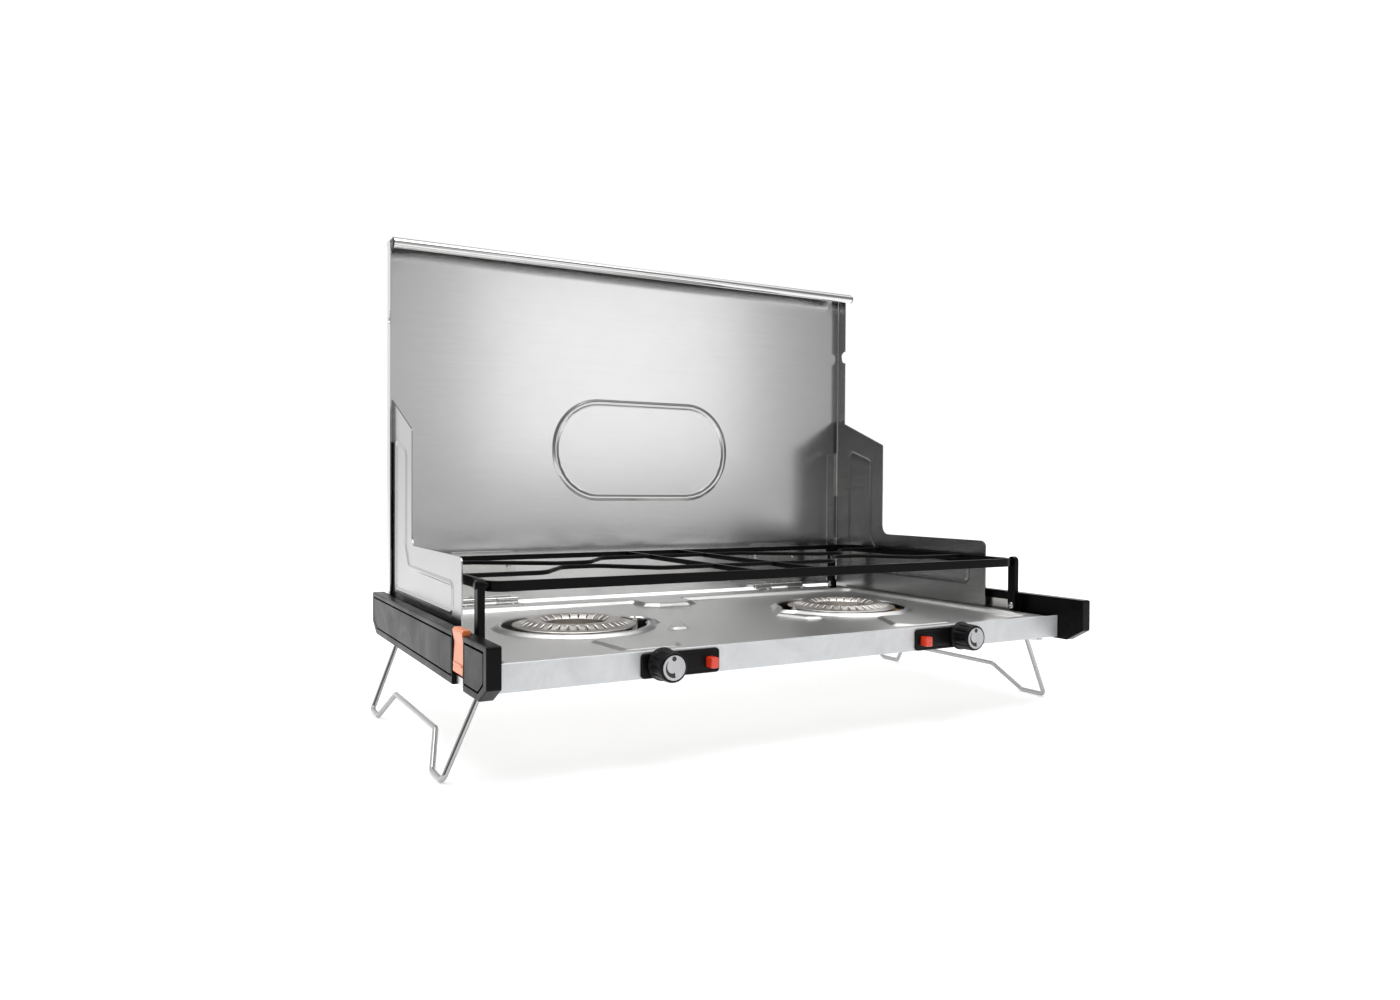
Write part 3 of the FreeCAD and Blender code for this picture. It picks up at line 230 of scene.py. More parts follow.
LOOKS = {
    "lid_steel": brushed("LidSteel", (0.66, 0.66, 0.66), 0.20, "x", streak=0.018, cloud=0.02, smear=0.006,
                         depth=0.03),
    "tray_steel": brushed("TraySteel", (0.86, 0.855, 0.845), 0.31, "x", streak=0.02, cloud=0.03, smear=0.01,
                          depth=0.04),
    "screen_steel": brushed("ScreenSteel", (0.46, 0.46, 0.465), 0.24, "y", streak=0.03, cloud=0.04),
    "panel_silver": coated("PanelSilver", (0.66, 0.675, 0.69), 0.38, speck=1600, depth=0.05, metallic=0.35),
    "zinc": brushed("Zinc", (0.66, 0.66, 0.65), 0.24, "x", grain=0.6, streak=0.05),
    "grate_black": coated("GrateBlack", (0.0025, 0.0025, 0.0025), 0.34, speck=1300, depth=0.12,
                          worn=(0.006, 0.006, 0.006), specular=0.10),
    "rail_grey": coated("RailBlack", (0.0025, 0.0025, 0.003), 0.31, speck=1500, depth=0.12,
                        worn=(0.006, 0.006, 0.006), specular=0.10),
    "control_black": coated("ControlBlack", (0.004, 0.004, 0.0045), 0.34, speck=1400, depth=0.12,
                            specular=0.14),
    "knob_pale": coated("KnobPale", (0.56, 0.56, 0.58), 0.36, speck=1500, depth=0.06),
    "button_red": coated("ButtonRed", (0.80, 0.045, 0.012), 0.28, depth=0.05, coat=0.4),
    "latch_orange": coated("LatchOrange", (0.86, 0.23, 0.055), 0.33, depth=0.06, coat=0.3),
    "brass": brushed("Brass", (0.72, 0.52, 0.24), 0.28, "y", grain=0.6),
    "burner_steel": brushed("BurnerSteel", (0.78, 0.745, 0.71), 0.32, "z", grain=0.5, streak=0.06, cloud=0.2),
    "hem_bright": brushed("HemBright", (0.70, 0.70, 0.70), 0.14, "x", streak=0.03, cloud=0.04),
    "plug_black": coated("PlugBlack", (0.02, 0.02, 0.02), 0.5),
    "ceramic": coated("Ceramic", (0.80, 0.78, 0.72), 0.25, coat=0.5),
    "chrome": brushed("LegChrome", (0.42, 0.42, 0.425), 0.13, "y", grain=0.4, streak=0.03, cloud=0.05),
    "ink": coated("Ink", (0.012, 0.012, 0.013), 0.4, depth=0.04),
    # painted shade: a darker copy of the screen steel for the right windscreen, standing in for the shade it
    # lies in
    "screen_shade": brushed("ScreenPaintedShade", (0.36, 0.36, 0.36), 0.24, "y", streak=0.10, cloud=0.08,
                            depth=0.08),
}


# ------------------------------------------------------------------ meshes

def join(*shapes):
    """One mesh from several lists of vertices and faces."""
    verts, faces = [], []
    for shape_verts, shape_faces in shapes:
        base = len(verts)
        verts += shape_verts
        faces += [tuple(i + base for i in face) for face in shape_faces]
    return verts, faces


def piece(name, shape, look, body, nodes=(), sharp=35.0, bevel=0.0, segments=2):
    """A mesh that moves with a CAD body, in place of the CAD nodes given."""
    verts, faces = shape
    data = bpy.data.meshes.new(name)
    data.from_pydata([tuple(c * MM for c in v) for v in verts], [], faces)
    cleaner = bmesh.new()
    cleaner.from_mesh(data)
    bmesh.ops.remove_doubles(cleaner, verts=cleaner.verts, dist=1e-7)
    bmesh.ops.dissolve_degenerate(cleaner, edges=cleaner.edges, dist=1e-7)
    bmesh.ops.recalc_face_normals(cleaner, faces=cleaner.faces)
    cleaner.to_mesh(data)
    cleaner.free()
    data.shade_smooth()
    data.set_sharp_from_angle(angle=math.radians(sharp))
    data.materials.append(LOOKS[look])
    obj = bpy.data.objects.new(name, data)
    bpy.context.scene.collection.objects.link(obj)
    if bevel:
        soften(obj, bevel, segments)
    weighted = obj.modifiers.new("Normals", "WEIGHTED_NORMAL")
    weighted.keep_sharp = True
    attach(obj, body)
    if nodes:
        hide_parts(*nodes)
    return obj


def soften(obj, width, segments=2):
    bevel = obj.modifiers.new("Bevel", "BEVEL")
    bevel.width = width * MM
    bevel.segments = segments
    bevel.limit_method = "ANGLE"
    bevel.angle_limit = math.radians(35)
    bevel.harden_normals = False


def rounded(points, radius, closed=True, steps=5):
    """A line of points with arcs in place of its corners; radius is one number or one for each corner."""
    points = [Vector(p) for p in points]
    count = len(points)
    radii = radius if isinstance(radius, (list, tuple)) else [radius] * count
    result = []
    for i, corner in enumerate(points):
        if not closed and i in (0, count - 1) or radii[i] <= 0:
            result.append(corner)
            continue
        into = points[i - 1] - corner
        away = points[(i + 1) % count] - corner
        angle = into.angle(away)
        if angle > math.pi - 0.02:
            result.append(corner)
            continue
        setback = min(radii[i] / math.tan(angle / 2), into.length * 0.48, away.length * 0.48)
        size = setback * math.tan(angle / 2)
        start = corner + into.normalized() * setback
        centre = corner + (into.normalized() + away.normalized()).normalized() * (size / math.sin(angle / 2))
        across = (start - centre) / size
        ahead = -into.normalized()
        for step in range(steps + 1):
            turn = (math.pi - angle) * step / steps
            result.append(centre + (across * math.cos(turn) + ahead * math.sin(turn)) * size)
    return [tuple(p) for p in result]


def inset(points, distance):
    """A closed outline moved inwards; negative moves it outwards."""
    count = len(points)
    area = sum(points[i - 1][0] * points[i][1] - points[i][0] * points[i - 1][1] for i in range(count))
    sign = 1 if area > 0 else -1
    result = []
    for i in range(count):
        before, here, after = (Vector(points[k % count][:2]) for k in (i - 1, i, i + 1))
        first, second = (here - before).normalized(), (after - here).normalized()
        n1 = Vector((-first.y, first.x)) * sign
        n2 = Vector((-second.y, second.x)) * sign
        mitre = (n1 + n2).normalized()
        stretch = max(0.35, mitre.dot(n1))
        result.append(tuple(here + mitre * distance / stretch))
    return result


def circle(centre, radius, count):
    turns = [math.tau * i / count for i in range(count)]
    return [(centre[0] + radius * math.cos(a), centre[1] + radius * math.sin(a)) for a in turns]


def rectangle(u0, v0, u1, v1):
    return [(u0, v0), (u1, v0), (u1, v1), (u0, v1)]


def ease(t):
    """A soft step from 0 to 1."""
    return 0.5 - 0.5 * math.cos(math.pi * t)


def inside(point, outline):
    x, y = point
    hit = False
    for (x0, y0), (x1, y1) in zip(outline, outline[1:] + outline[:1]):
        if (y0 > y) != (y1 > y) and x < (x1 - x0) * (y - y0) / (y1 - y0) + x0:
            hit = not hit
    return hit


def relief(border, rings, place, thick=None, base=None, holes=(), lines=()):
    """A pressed sheet or a block with a modelled face.

    border is (outline, height), rings are closed loops and lines are open ones with their heights, holes are
    loops that are cut out. place(u, v, height) gives a point of the stove. The back is thick behind the face,
    or lies at the height base."""
    points, heights, edges = [], [], []
    closed = [border, *rings, *holes]
    for loop, height in closed:
        first = len(points)
        points += [Vector(p[:2]) for p in loop]
        heights += [height] * len(loop)
        edges += [(first + i, first + (i + 1) % len(loop)) for i in range(len(loop))]
    for loop, height in lines:
        first = len(points)
        points += [Vector(p[:2]) for p in loop]
        heights += [height] * len(loop)
        edges += [(first + i, first + i + 1) for i in range(len(loop) - 1)]
    boundary = [list(range(len(border[0])))]
    out, _, faces, origin, _, _ = delaunay_2d_cdt(points, edges, boundary, 1, 1e-5)
    level = [max((heights[k] for k in source), key=abs) if source else 0.0 for source in origin]
    kept = []
    for face in faces:
        middle = sum((out[i] for i in face), Vector((0, 0))) / len(face)
        if not any(inside(middle, [tuple(p[:2]) for p in loop]) for loop, _ in holes):
            kept.append(tuple(face))
    count = len(out)
    verts = [place(p.x, p.y, z) for p, z in zip(out, level)]
    verts += [place(p.x, p.y, base if base is not None else z - thick) for p, z in zip(out, level)]
    all_faces = kept + [tuple(i + count for i in reversed(face)) for face in kept]
    sides = {}
    for face in kept:
        for a, b in zip(face, face[1:] + face[:1]):
            key = (min(a, b), max(a, b))
            sides[key] = None if key in sides else (a, b)
    all_faces += [(b, a, a + count, b + count) for a, b in filter(None, sides.values())]
    return verts, all_faces


def bead(path, slope):
    """Loops of a pressed bead along a path: slope is (offset, height) from its inner foot to its crest."""
    turns = [*slope, *((-away, height) for away, height in reversed(slope) if away)]
    return [(inset(path, away), height) for away, height in turns]


def prism(outline, axis, low, high):
    """An outline pushed along an axis. The outline's two numbers are the other two axes in order."""
    def put(p, t):
        return {"x": (t, p[0], p[1]), "y": (p[0], t, p[1]), "z": (p[0], p[1], t)}[axis]
    count = len(outline)
    verts = [put(p, low) for p in outline] + [put(p, high) for p in outline]
    faces = [tuple(range(count)), tuple(range(2 * count - 1, count - 1, -1))]
    faces += [(i, (i + 1) % count, (i + 1) % count + count, i + count) for i in range(count)]
    return verts, faces


def block(low, high):
    return prism(rectangle(*low[:2], *high[:2]), "z", low[2], high[2])


def lathe(profile, centre, axis="z", count=48, closed=False, keep=None, shape=None):
    """Turns a line of (radius, height) about an axis. keep(ring, sector) leaves faces out; shape(r, angle, t)
    changes the radius round the turn."""
    verts, faces = [], []
    for r, t in profile:
        for i in range(count):
            angle = math.tau * i / count
            radius = shape(r, angle, t) if shape else r
            u, v = radius * math.cos(angle), radius * math.sin(angle)
            local = {"x": (t, u, v), "y": (u, t, v), "z": (u, v, t)}[axis]
            verts.append(tuple(c + d for c, d in zip(centre, local)))
    rows = len(profile)
    for j in range(rows if closed else rows - 1):
        k = (j + 1) % rows
        for i in range(count):
            if keep is None or keep(j, i):
                n = (i + 1) % count
                faces.append((j * count + i, j * count + n, k * count + n, k * count + i))
    if not closed:
        if profile[0][0] > 0.01:
            faces.append(tuple(range(count - 1, -1, -1)))
        if profile[-1][0] > 0.01:
            faces.append(tuple(range((rows - 1) * count, rows * count)))
    return verts, faces


def sweep(path, section, closed=False, upright=False):
    """A section of (across, up) offsets carried along a line of points."""
    points = [Vector(p) for p in path]
    count, size = len(points), len(section)
    tangents = []
    for i in range(count):
        before = points[i - 1] if closed or i > 0 else points[i]
        after = points[(i + 1) % count] if closed or i < count - 1 else points[i]
        tangents.append((after - before).normalized())
    up = Vector((0, 0, 1)) if abs(tangents[0].z) < 0.9 else Vector((1, 0, 0))
    verts, faces = [], []
    for i, (point, tangent) in enumerate(zip(points, tangents)):
        if upright:
            up = Vector((0, 0, 1))
        across = tangent.cross(up).normalized()
        up = across.cross(tangent).normalized()
        stretch = 1.0
        if upright and (closed or 0 < i < count - 1):
            step = (points[(i + 1) % count] - point).normalized()
            stretch = 1 / max(0.5, tangent.dot(step))
        verts += [tuple(point + across * a * stretch + up * b) for a, b in section]
    for i in range(count if closed else count - 1):
        j = (i + 1) % count
        for k in range(size):
            n = (k + 1) % size
            faces.append((i * size + k, i * size + n, j * size + n, j * size + k))
    if not closed:
        faces += [tuple(range(size - 1, -1, -1)), tuple(range((count - 1) * size, count * size))]
    return verts, faces


def tube(inner, outer, edge, low, high, centre, axis, count):
    """A tube along an axis, with its outer edges taken off."""
    profile = [(inner, low), (outer - edge, low), (outer, low + 0.2), (outer, high - 0.2),
               (outer - edge, high), (inner, high)]
    return lathe(profile, centre, axis, count, closed=True)


def bar_section(thick, tall, edge=0.45):
    """Flat bar on edge with rounded corners, hanging from its top."""
    return rounded(rectangle(-thick / 2, 0, thick / 2, -tall), edge, steps=2)


def dome(centre, axis, radius, height, direction, base=0.0):
    """A rivet's or screw's head: a low dome that starts base behind its centre."""
    turn = [(radius, -base), (radius, height * 0.25), (radius * 0.93, height * 0.55),
            (radius * 0.72, height * 0.86), (radius * 0.4, height * 0.98), (0.001, height)]
    return lathe([(r, t * direction) for r, t in turn], centre, axis, 24)


# ------------------------------------------------------------------ tray and front

def burner_ring(x, y, side, radius, count=120):
    """A ring round a burner's hole, with a bulge for the electrode towards the middle of the tray."""
    notch, reach, ramp = 8.0, math.radians(13), math.radians(5)
    towards = math.pi if side > 0 else 0.0
    points = []
    for i in range(count):
        angle = math.tau * i / count
        off = abs((angle - towards + math.pi) % math.tau - math.pi)
        out = radius + notch * max(0.0, min(1.0, (reach - off) / ramp))
        points.append((x + out * math.cos(angle), y + out * math.sin(angle)))
    return points


def tray():
    t = Box("tray")
    bend, depth, sheet_thick = 1.6, 3.6, 0.9
    top, floor = t.z1, -depth
    border = rectangle(t.x0 + bend, t.y0 + bend, t.x1 - bend, t.y1 - bend)
    rings = [(inset(border, 0.4), 0.0)]
    # the dished floor, with the raised step that juts into it at the middle of the back
    dish_slope = 6.5
    for level in (0.0, 0.12, 0.3, 0.5, 0.7, 0.88, 1.0):
        w = dish_slope * level
        x, front, back = t.x1 - 7 - w, t.y0 + 8 + w, t.y1 - 25 - 5.5 * level
        wide, waist, reach = 23 + w, 14 + w * 0.5, t.y1 - 57 - w
        loop = [(-x, front), (x, front), (x, back), (wide, back), (wide, reach + 10), (waist, reach),
                (-waist, reach), (-wide, reach + 10), (-wide, back), (-x, back)]
        rings.append((rounded(loop, [9, 9, 9, 4, 3, 3, 3, 3, 4, 9], steps=5), -depth * ease(level)))
    holes = []
    for name, side in SIDES.items():
        x, y, _ = Box(f"burner_cap_{name}").mid
        lifts = ((65.5, 0.0), (64.6, 0.15), (63.4, 0.8), (61.8, 1.9), (60.4, 2.7), (59.3, 3.0), (58.4, 2.8))
        rings += [(burner_ring(x, y, side, radius), floor + lift) for radius, lift in lifts]
        holes.append((burner_ring(x, y, side, 57.3), floor + 1.9))
        # the rib over the mixer tube and the pad beside the burner
        rib = [(side * 116.5, -57.0), (side * 144, -58.5), (side * 153, -66.0), (side * 149, -119.0),
               (side * 106, -119.0), (side * 96, -101.0)]
        pad = [(side * 80, -45.5), (side * 57, -43.0), (side * 43, -5.0), (side * 57, -8.0),
               (side * 66, -22.0)]
        for plan, high, slope in ((rib, 1.9, 5.0), (pad, 2.2, 3.5)):
            for level in (0.0, 0.22, 0.5, 0.78, 1.0):
                rings.append((rounded(inset(plan, slope * level), 4.0, steps=3), floor + high * ease(level)))

    def place(u, v, z):
        return (u, v, top + z)

    sheet = relief((border, 0.0), rings, place, thick=sheet_thick, holes=holes)
    # rounded edge and side walls
    path = rounded([(*p, top) for p in border], 3.0, steps=6)
    outer = [(0, 0)] + [(bend * math.sin(a), bend * math.cos(a) - bend) for a in (0.4, 0.8, 1.2, math.pi / 2)]
    outer.append((bend, t.z0 - top))
    inner_x = bend - sheet_thick
    inner = [(inner_x, t.z0 - top), (inner_x, -bend), (0.35, -sheet_thick), (0, -sheet_thick)]
    skirt = sweep(path, outer + inner, closed=True, upright=True)
    piece("Tray", join(sheet, skirt), "tray_steel", "base", ["tray"], sharp=50)


def front():
    p = Box("front_panel")
    gap, edge = 0.4, 0.35
    holes, plate_holes = [], {}
    for name in SIDES:
        x, _, z = Box(f"knob_grip_{name}").mid
        b = Box(f"button_{name}")
        opening = rounded(rectangle(b.x0 - gap, b.z0 - gap, b.x1 + gap, b.z1 + gap), 0.6, steps=3)
        holes += [(circle((x, z), 4.5, 24), 0.0), (opening, 0.0)]
        plate_holes[name] = [(circle((x, z), 4.2, 24), 0.0), (opening, 0.0)]
    outline = rectangle(p.x0, p.z0, p.x1, p.z1)
    face = relief((outline, -edge), [(inset(outline, edge), 0.0)], lambda u, v, h: (u, p.y0 - h, v),
                  base=-1.2, holes=holes)
    piece("FrontPanel", face, "panel_silver", "base", ["front_panel"])
    for name in SIDES:
        c = Box(f"control_plate_{name}")
        outline = rounded(rectangle(c.x0, c.z0, c.x1, c.z1), 2.6, steps=6)
        rim = [(inset(outline, away), height) for away, height in
               ((0.25, -0.15), (0.7, 0.0), (1.5, 0.0), (1.75, -0.25), (2.0, -0.3))]
        plate = relief((outline, -0.6), rim, lambda u, v, h: (u, c.y0 - h, v), base=-(c.y1 - c.y0),
                       holes=plate_holes[name])
        piece(f"ControlPlate.{name}", plate, "control_black", "base", [f"control_plate_{name}"])


# ------------------------------------------------------------------ burners

def burner(name):
    cap = Box(f"burner_cap_{name}")
    x, y, _ = cap.mid
    outer = (cap.x1 - cap.x0) / 2
    profile = [(24.2, 1.0), (24.6, 1.8), (26.0, 2.9), (28.4, 4.2), (30.0, 4.8), (32.5, 5.1), (35.5, 5.0),
               (37.5, 4.6), (40.5, 3.2), (43.4, 2.0), (44.8, 1.6), (47.0, 1.35), (outer - 0.9, 1.1),
               (outer - 0.2, 0.8), (outer, 0.3)]
    outer_slots, inner_slots = 36, 24
    count = outer_slots * 6

    def keep(row, sector):
        """Leaves out the slots in the crest's two slopes."""
        in_outer = 7 <= row < 9 and sector % (count // outer_slots) == 0
        in_inner = 1 <= row < 4 and sector % (count // inner_slots) == 0
        return not (in_outer or in_inner)

    shell, faces = lathe(profile, (x, y, cap.z0), "z", count, keep=keep)
    faces = [f for f in faces if len(f) == 4]
    obj = piece(f"BurnerCap.{name}", (shell, faces), "burner_steel", "base", [f"burner_cap_{name}"], sharp=60)
    obj.modifiers.clear()
    wall = obj.modifiers.new("Wall", "SOLIDIFY")
    wall.thickness = 0.9 * MM
    wall.offset = -1
    bowl = Box(f"burner_bowl_{name}")
    low = bowl.z0
    cup = [(0.01, low + 1.2), (22, low + 1.4), (33, low + 3.0), (38.5, low + 7), (40.5, low + 13.5),
           (42.6, low + 14.2), (43.0, low + 13.4), (41.6, low + 12.6), (39.6, low + 6), (34, low + 1.4),
           (22, low), (0.01, low)]
    socket_z = 67.9
    socket = lathe(rectangle(5.1, -9.0, 6.5, 8.0), (x, bowl.y0 + 9, socket_z), "y", 32, closed=True)
    piece(f"BurnerBowl.{name}", join(lathe(cup, (x, y, 0), "z", 64), socket), "burner_steel", "base",
          [f"burner_bowl_{name}"], sharp=50)


# ------------------------------------------------------------------ knobs and buttons

def controls(name):
    grip = Box(f"knob_grip_{name}")
    x, _, z = grip.mid
    back, front = grip.y1, grip.y0
    radius = (grip.z1 - grip.z0) / 2
    length = back - front

    def lobes(r, angle, y):
        """Twelve shallow scallops along the grip, faded out at both ends."""
        fade = max(0.0, min(1.0, (-y - 2.2) / 2.0)) * max(0.0, min(1.0, (length - 1.6 + y) / 3.0))
        wave = max(0.0, math.cos(angle * 12)) ** 1.5
        return r - 0.75 * wave * fade if r > 9.3 else r

    profile = [(8.0, 0.0), (radius - 0.5, 0.0), (radius, 0.5), (radius, 2.0), (radius - 0.7, 3.2),
               (10.2, 4.2), (10.05, 8.0), (10.0, length - 4.0), (9.9, length - 2.2), (9.65, length - 1.0),
               (9.2, length - 0.35), (8.7, length), (8.35, length), (8.3, length - 0.9), (0.01, length - 0.9)]
    turned = lathe([(r, -t) for r, t in profile], (x, back, z), "y", 144, shape=lobes)
    piece(f"KnobGrip.{name}", turned, "control_black", f"knob_{name}", [f"knob_grip_{name}"], sharp=40)
    face = Box(f"knob_face_{name}")
    disc = [(8.2, 0.7), (8.2, -0.1), (8.0, -0.35), (7.4, -0.42), (0.01, -0.45)]
    piece(f"KnobFace.{name}", lathe(disc, (x, face.y0 + 0.45, z), "y", 72), "knob_pale", f"knob_{name}",
          [f"knob_face_{name}"], sharp=40)
    # flame marks: a dot near the top, and a crescent that grows towards its foot
    mark_y = (face.y0 - 0.02, face.y0 + 0.4)
    reach, parts = 6.4, 16
    outer, inner = [], []
    for i in range(parts + 1):
        angle = math.radians(lerp(135, 276, i / parts))
        near = reach - lerp(0.3, 3.6, (i / parts) ** 1.2)
        outer.append((x + reach * math.cos(angle), z + reach * math.sin(angle)))
        inner.append((x + near * math.cos(angle), z + near * math.sin(angle)))
    dot = prism(circle((x - 0.2, z + 5.9), 1.6, 24), "y", *mark_y)
    piece(f"KnobMarks.{name}", join(dot, prism(outer + inner[::-1], "y", *mark_y)), "ink", f"knob_{name}")
    b = Box(f"button_{name}")
    outline = rounded(rectangle(b.x0, b.z0, b.x1, b.z1), 0.9, steps=4)
    plan = [(inset(outline, 0.3), -0.12), (inset(outline, 0.8), 0.0), (inset(outline, 1.6), 0.05)]
    head = relief((outline, -0.5), plan, lambda u, v, h: (u, b.y0 + 0.1 - h, v), base=-8.0)
    stalk = lathe([(1.5, 7.0), (1.5, b.y1 - b.y0)], (b.mid[0], b.y0, b.mid[2]), "y", 20)
    piece(f"Button.{name}", join(head, stalk), "button_red", f"button_{name}", [f"button_{name}"])


# ------------------------------------------------------------------ end rails

def rail(name, side):
    r, latch_box = Box(f"end_rail_{name}"), Box("latch_left")
    has_latch = name == "left"
    face = r.x1 if side > 0 else r.x0
    thick = r.x1 - r.x0

    def place(u, v, h):
        return (face + side * h, u, v)

    low, top = r.z0, r.z1
    slot = (latch_box.y0 - 1.5, latch_box.y1 + 1.5)
    # a well behind the latch's place and one in front of it, and the rail's ends with their cut lower corners
    wells = [([(slot[1] + 1.4, low + 5.0), (r.y1 - 19.0, low + 5.0), (r.y1 - 6.0, low + 12.4),
               (r.y1 - 6.0, top - 3.4), (slot[1] + 1.4, top - 3.4)], 3.0),
             ([(r.y0 + 17.0, low + 4.6), (slot[0] - 1.8, low + 4.6), (slot[0] - 1.8, top - 3.6),
               (r.y0 + 6.2, top - 3.6), (r.y0 + 6.2, low + 11.5)], 4.4)]
    cut_y, cut_z = 16.0, 9.3
    back_end = [(r.y1 - cut_y, low), (r.y1, low + cut_z), (r.y1, top)]
    if has_latch:
        front = [(r.y0 + cut_y, low), (slot[0], low), (slot[0], top), (r.y0, top), (r.y0, low + cut_z)]
        bodies = [([(slot[1], low), *back_end, (slot[1], top)], wells[:1]), (front, wells[1:])]
    else:
        bodies = [([(r.y0 + cut_y, low), *back_end, (r.y0, top), (r.y0, low + cut_z)], wells)]
    shapes = []
    for outline, sunk in bodies:
        radii = [0.4 if has_latch and p[0] in slot else 1.6 for p in outline]
        soft = rounded(outline, radii, steps=4)
        rings = [(inset(soft, 0.3), -0.32), (inset(soft, 0.8), -0.05), (inset(soft, 1.2), 0.0)]
        for well, depth in sunk:
            mouth = rounded(well, 0.9, steps=3)
            for away, part in ((-0.35, 0.0), (0.0, 0.05), (0.25, 0.3), (0.55, 0.9), (0.8, 0.98), (1.3, 1.0)):
                rings.append((inset(mouth, away), -depth * part))
        shapes.append(relief((soft, -1.0), rings, place, base=-thick))
    if has_latch:
        web = rectangle(slot[0] - 0.5, low + 0.3, slot[1] + 0.5, top - 0.2)
        shapes.append(prism(web, "x", *sorted((face - side * thick, face - side * 7.0))))
    # raised lip along the inner edge of the top, behind the latch
    inner = face - side * thick
    lip = [(slot[1] + 8, r.z1 - 1.2), (r.y1 - 5, r.z1 - 1.2), (r.y1 - 5, r.z1), (slot[1] + 11, r.z1)]
    shapes.append(prism(lip, "x", *sorted((inner, inner + side * 1.4))))
    piece(f"EndRail.{name}", join(*shapes), "rail_grey", "base", [f"end_rail_{name}"], sharp=42)


def latch():
    """The left rail's lever; its profile is taken from the outer face inwards."""
    b = Box("latch_left")
    x, low, top = b.x0, b.z0, b.z1
    leg_x, head_x = x + 5.4, x + 5.6
    profile = [(leg_x, low), (x + 1.2, low), (x + 0.4, low + 1.2), (x + 0.9, low + 10), (x + 1.3, top - 9.5),
               (x + 0.2, top - 3.4), (x, top - 1.6), (x + 1.2, top), (head_x, top), (head_x, top - 2.2),
               (leg_x, top - 2.2)]
    shape = rounded(profile, [0.5, 0.8, 0.8, 6, 6, 2.5, 1.0, 1.2, 0.5, 0.4, 0.3], steps=4)
    lever = prism(shape, "y", b.y0, b.y1)
    ridge = [(x + 0.6, low + 5.5), (x + 0.05, low + 5.9), (x + 0.05, low + 6.9), (x + 0.6, low + 7.3)]
    rib = prism(ridge, "y", b.y0 + 1.5, b.y1 - 1.5)
    piece("Latch.left", join(lever, rib), "latch_orange", "latch_left", ["latch_left"], bevel=0.55,
          segments=3)


# ------------------------------------------------------------------ lid

def lid():
    panel = Box("lid_panel")
    sheet_thick, bend = 0.8, 2.0
    flat = panel.x1 - bend
    inner_y = panel.y1 - sheet_thick
    arc = bend * math.pi / 2
    flange = 11.0
    reach = flat + arc + flange
    low, top = panel.z0 - 2.5, panel.z1 - 1.0
    notch_z, notch_r = lerp(panel.z0, panel.z1, 0.787), 6.3

    def place(u, v, h):
        side = 1 if u > 0 else -1
        past = abs(u) - flat
        if past <= 0:
            return (u, inner_y - h, v)
        turn = min(past, arc) / bend
        x = flat + (1.2 - h) * math.sin(turn)
        y = inner_y - 1.2 + (1.2 - h) * math.cos(turn) - max(0.0, past - arc)
        return (side * x, y, v)

    def edge(side):
        turns = [math.pi * (i / 12 - 0.5) for i in range(13)]
        return [(side * (reach - notch_r * math.cos(a)), notch_z + side * notch_r * math.sin(a))
                for a in turns]

    steps = [flat + arc * i / 5 for i in range(6)]
    bottom = [(x, low) for x in [-reach] + [-s for s in reversed(steps)] + steps + [reach]]
    upper = [(x, top) for x in [reach] + list(reversed(steps)) + [-s for s in steps] + [-reach]]
    outline = bottom + edge(1) + upper + edge(-1)
    lines = [([(side * s, low), (side * s, top)], 0.0) for s in steps for side in (-1, 1)]
    # stiffening bead: a plain stadium
    cx, cz, half_x, half_z = (panel.x0 + panel.x1) / 2 + 3, lerp(low, top, 0.447), 93.0, 46.0
    stadium = rounded(rectangle(cx - half_x, cz - half_z, cx + half_x, cz + half_z), half_z - 0.5, steps=18)
    rings = bead(stadium, ((3.6, 0.0), (2.7, 0.2), (1.7, 0.75), (0.6, 1.15)))
    # shallow creases across the upper corners
    for side in (-1, 1):
        lines.append(([(side * (flat - 3), top - 30), (side * (flat - 30), top - 3)], 0.35))
    sheet = relief((outline, 0.0), rings, place, thick=sheet_thick, lines=lines)
    # front wall of the lid: bent over the top edge and down into the rolled tube
    hem = Box("lid_hem")
    under, turns = panel.z1 - sheet_thick, (0.5, 1.0, 1.57)
    inner_r, outer_r = 1.2, 2.0
    wall = [(inner_y, top - 2.5), (inner_y, under - inner_r)]
    wall += [(inner_y - inner_r + inner_r * math.cos(a), under - inner_r + inner_r * math.sin(a))
             for a in turns]
    wall += [(hem.mid[1], under), (hem.mid[1], panel.z1), (panel.y1 - outer_r, panel.z1)]
    wall += [(panel.y1 - outer_r + outer_r * math.sin(a), panel.z1 - outer_r + outer_r * math.cos(a))
             for a in turns]
    wall += [(panel.y1, top - 2.5)]
    over = prism(wall, "x", panel.x0 + 0.1, panel.x1 - 0.1)
    piece("LidPanel", join(sheet, over), "lid_steel", "lid", ["lid_panel"], sharp=55)
    radius = (hem.z1 - hem.z0) / 2
    rolled = [(radius - 0.9, hem.x0), (radius - 0.15, hem.x0), (radius, hem.x0 + 0.3), (radius, hem.x1 - 0.3),
              (radius - 0.15, hem.x1), (radius - 0.9, hem.x1)]
    piece("LidHem", lathe(rolled, (0, hem.mid[1], hem.mid[2]), "x", 40, closed=True), "hem_bright", "lid",
          ["lid_hem"], sharp=40)
    plugs = []
    for side in (-1, 1):
        end = hem.x1 if side > 0 else hem.x0
        shape = [(3.1, -7.0), (3.15, 0.0), (3.95, 0.0), (3.95, 0.6), (3.5, 1.1), (0.01, 1.2)]
        plugs.append(lathe([(r, side * t) for r, t in shape], (end, hem.mid[1], hem.mid[2]), "x", 32))
    piece("HemPlugs", join(*plugs), "plug_black", "lid", ["hem_plugs"])


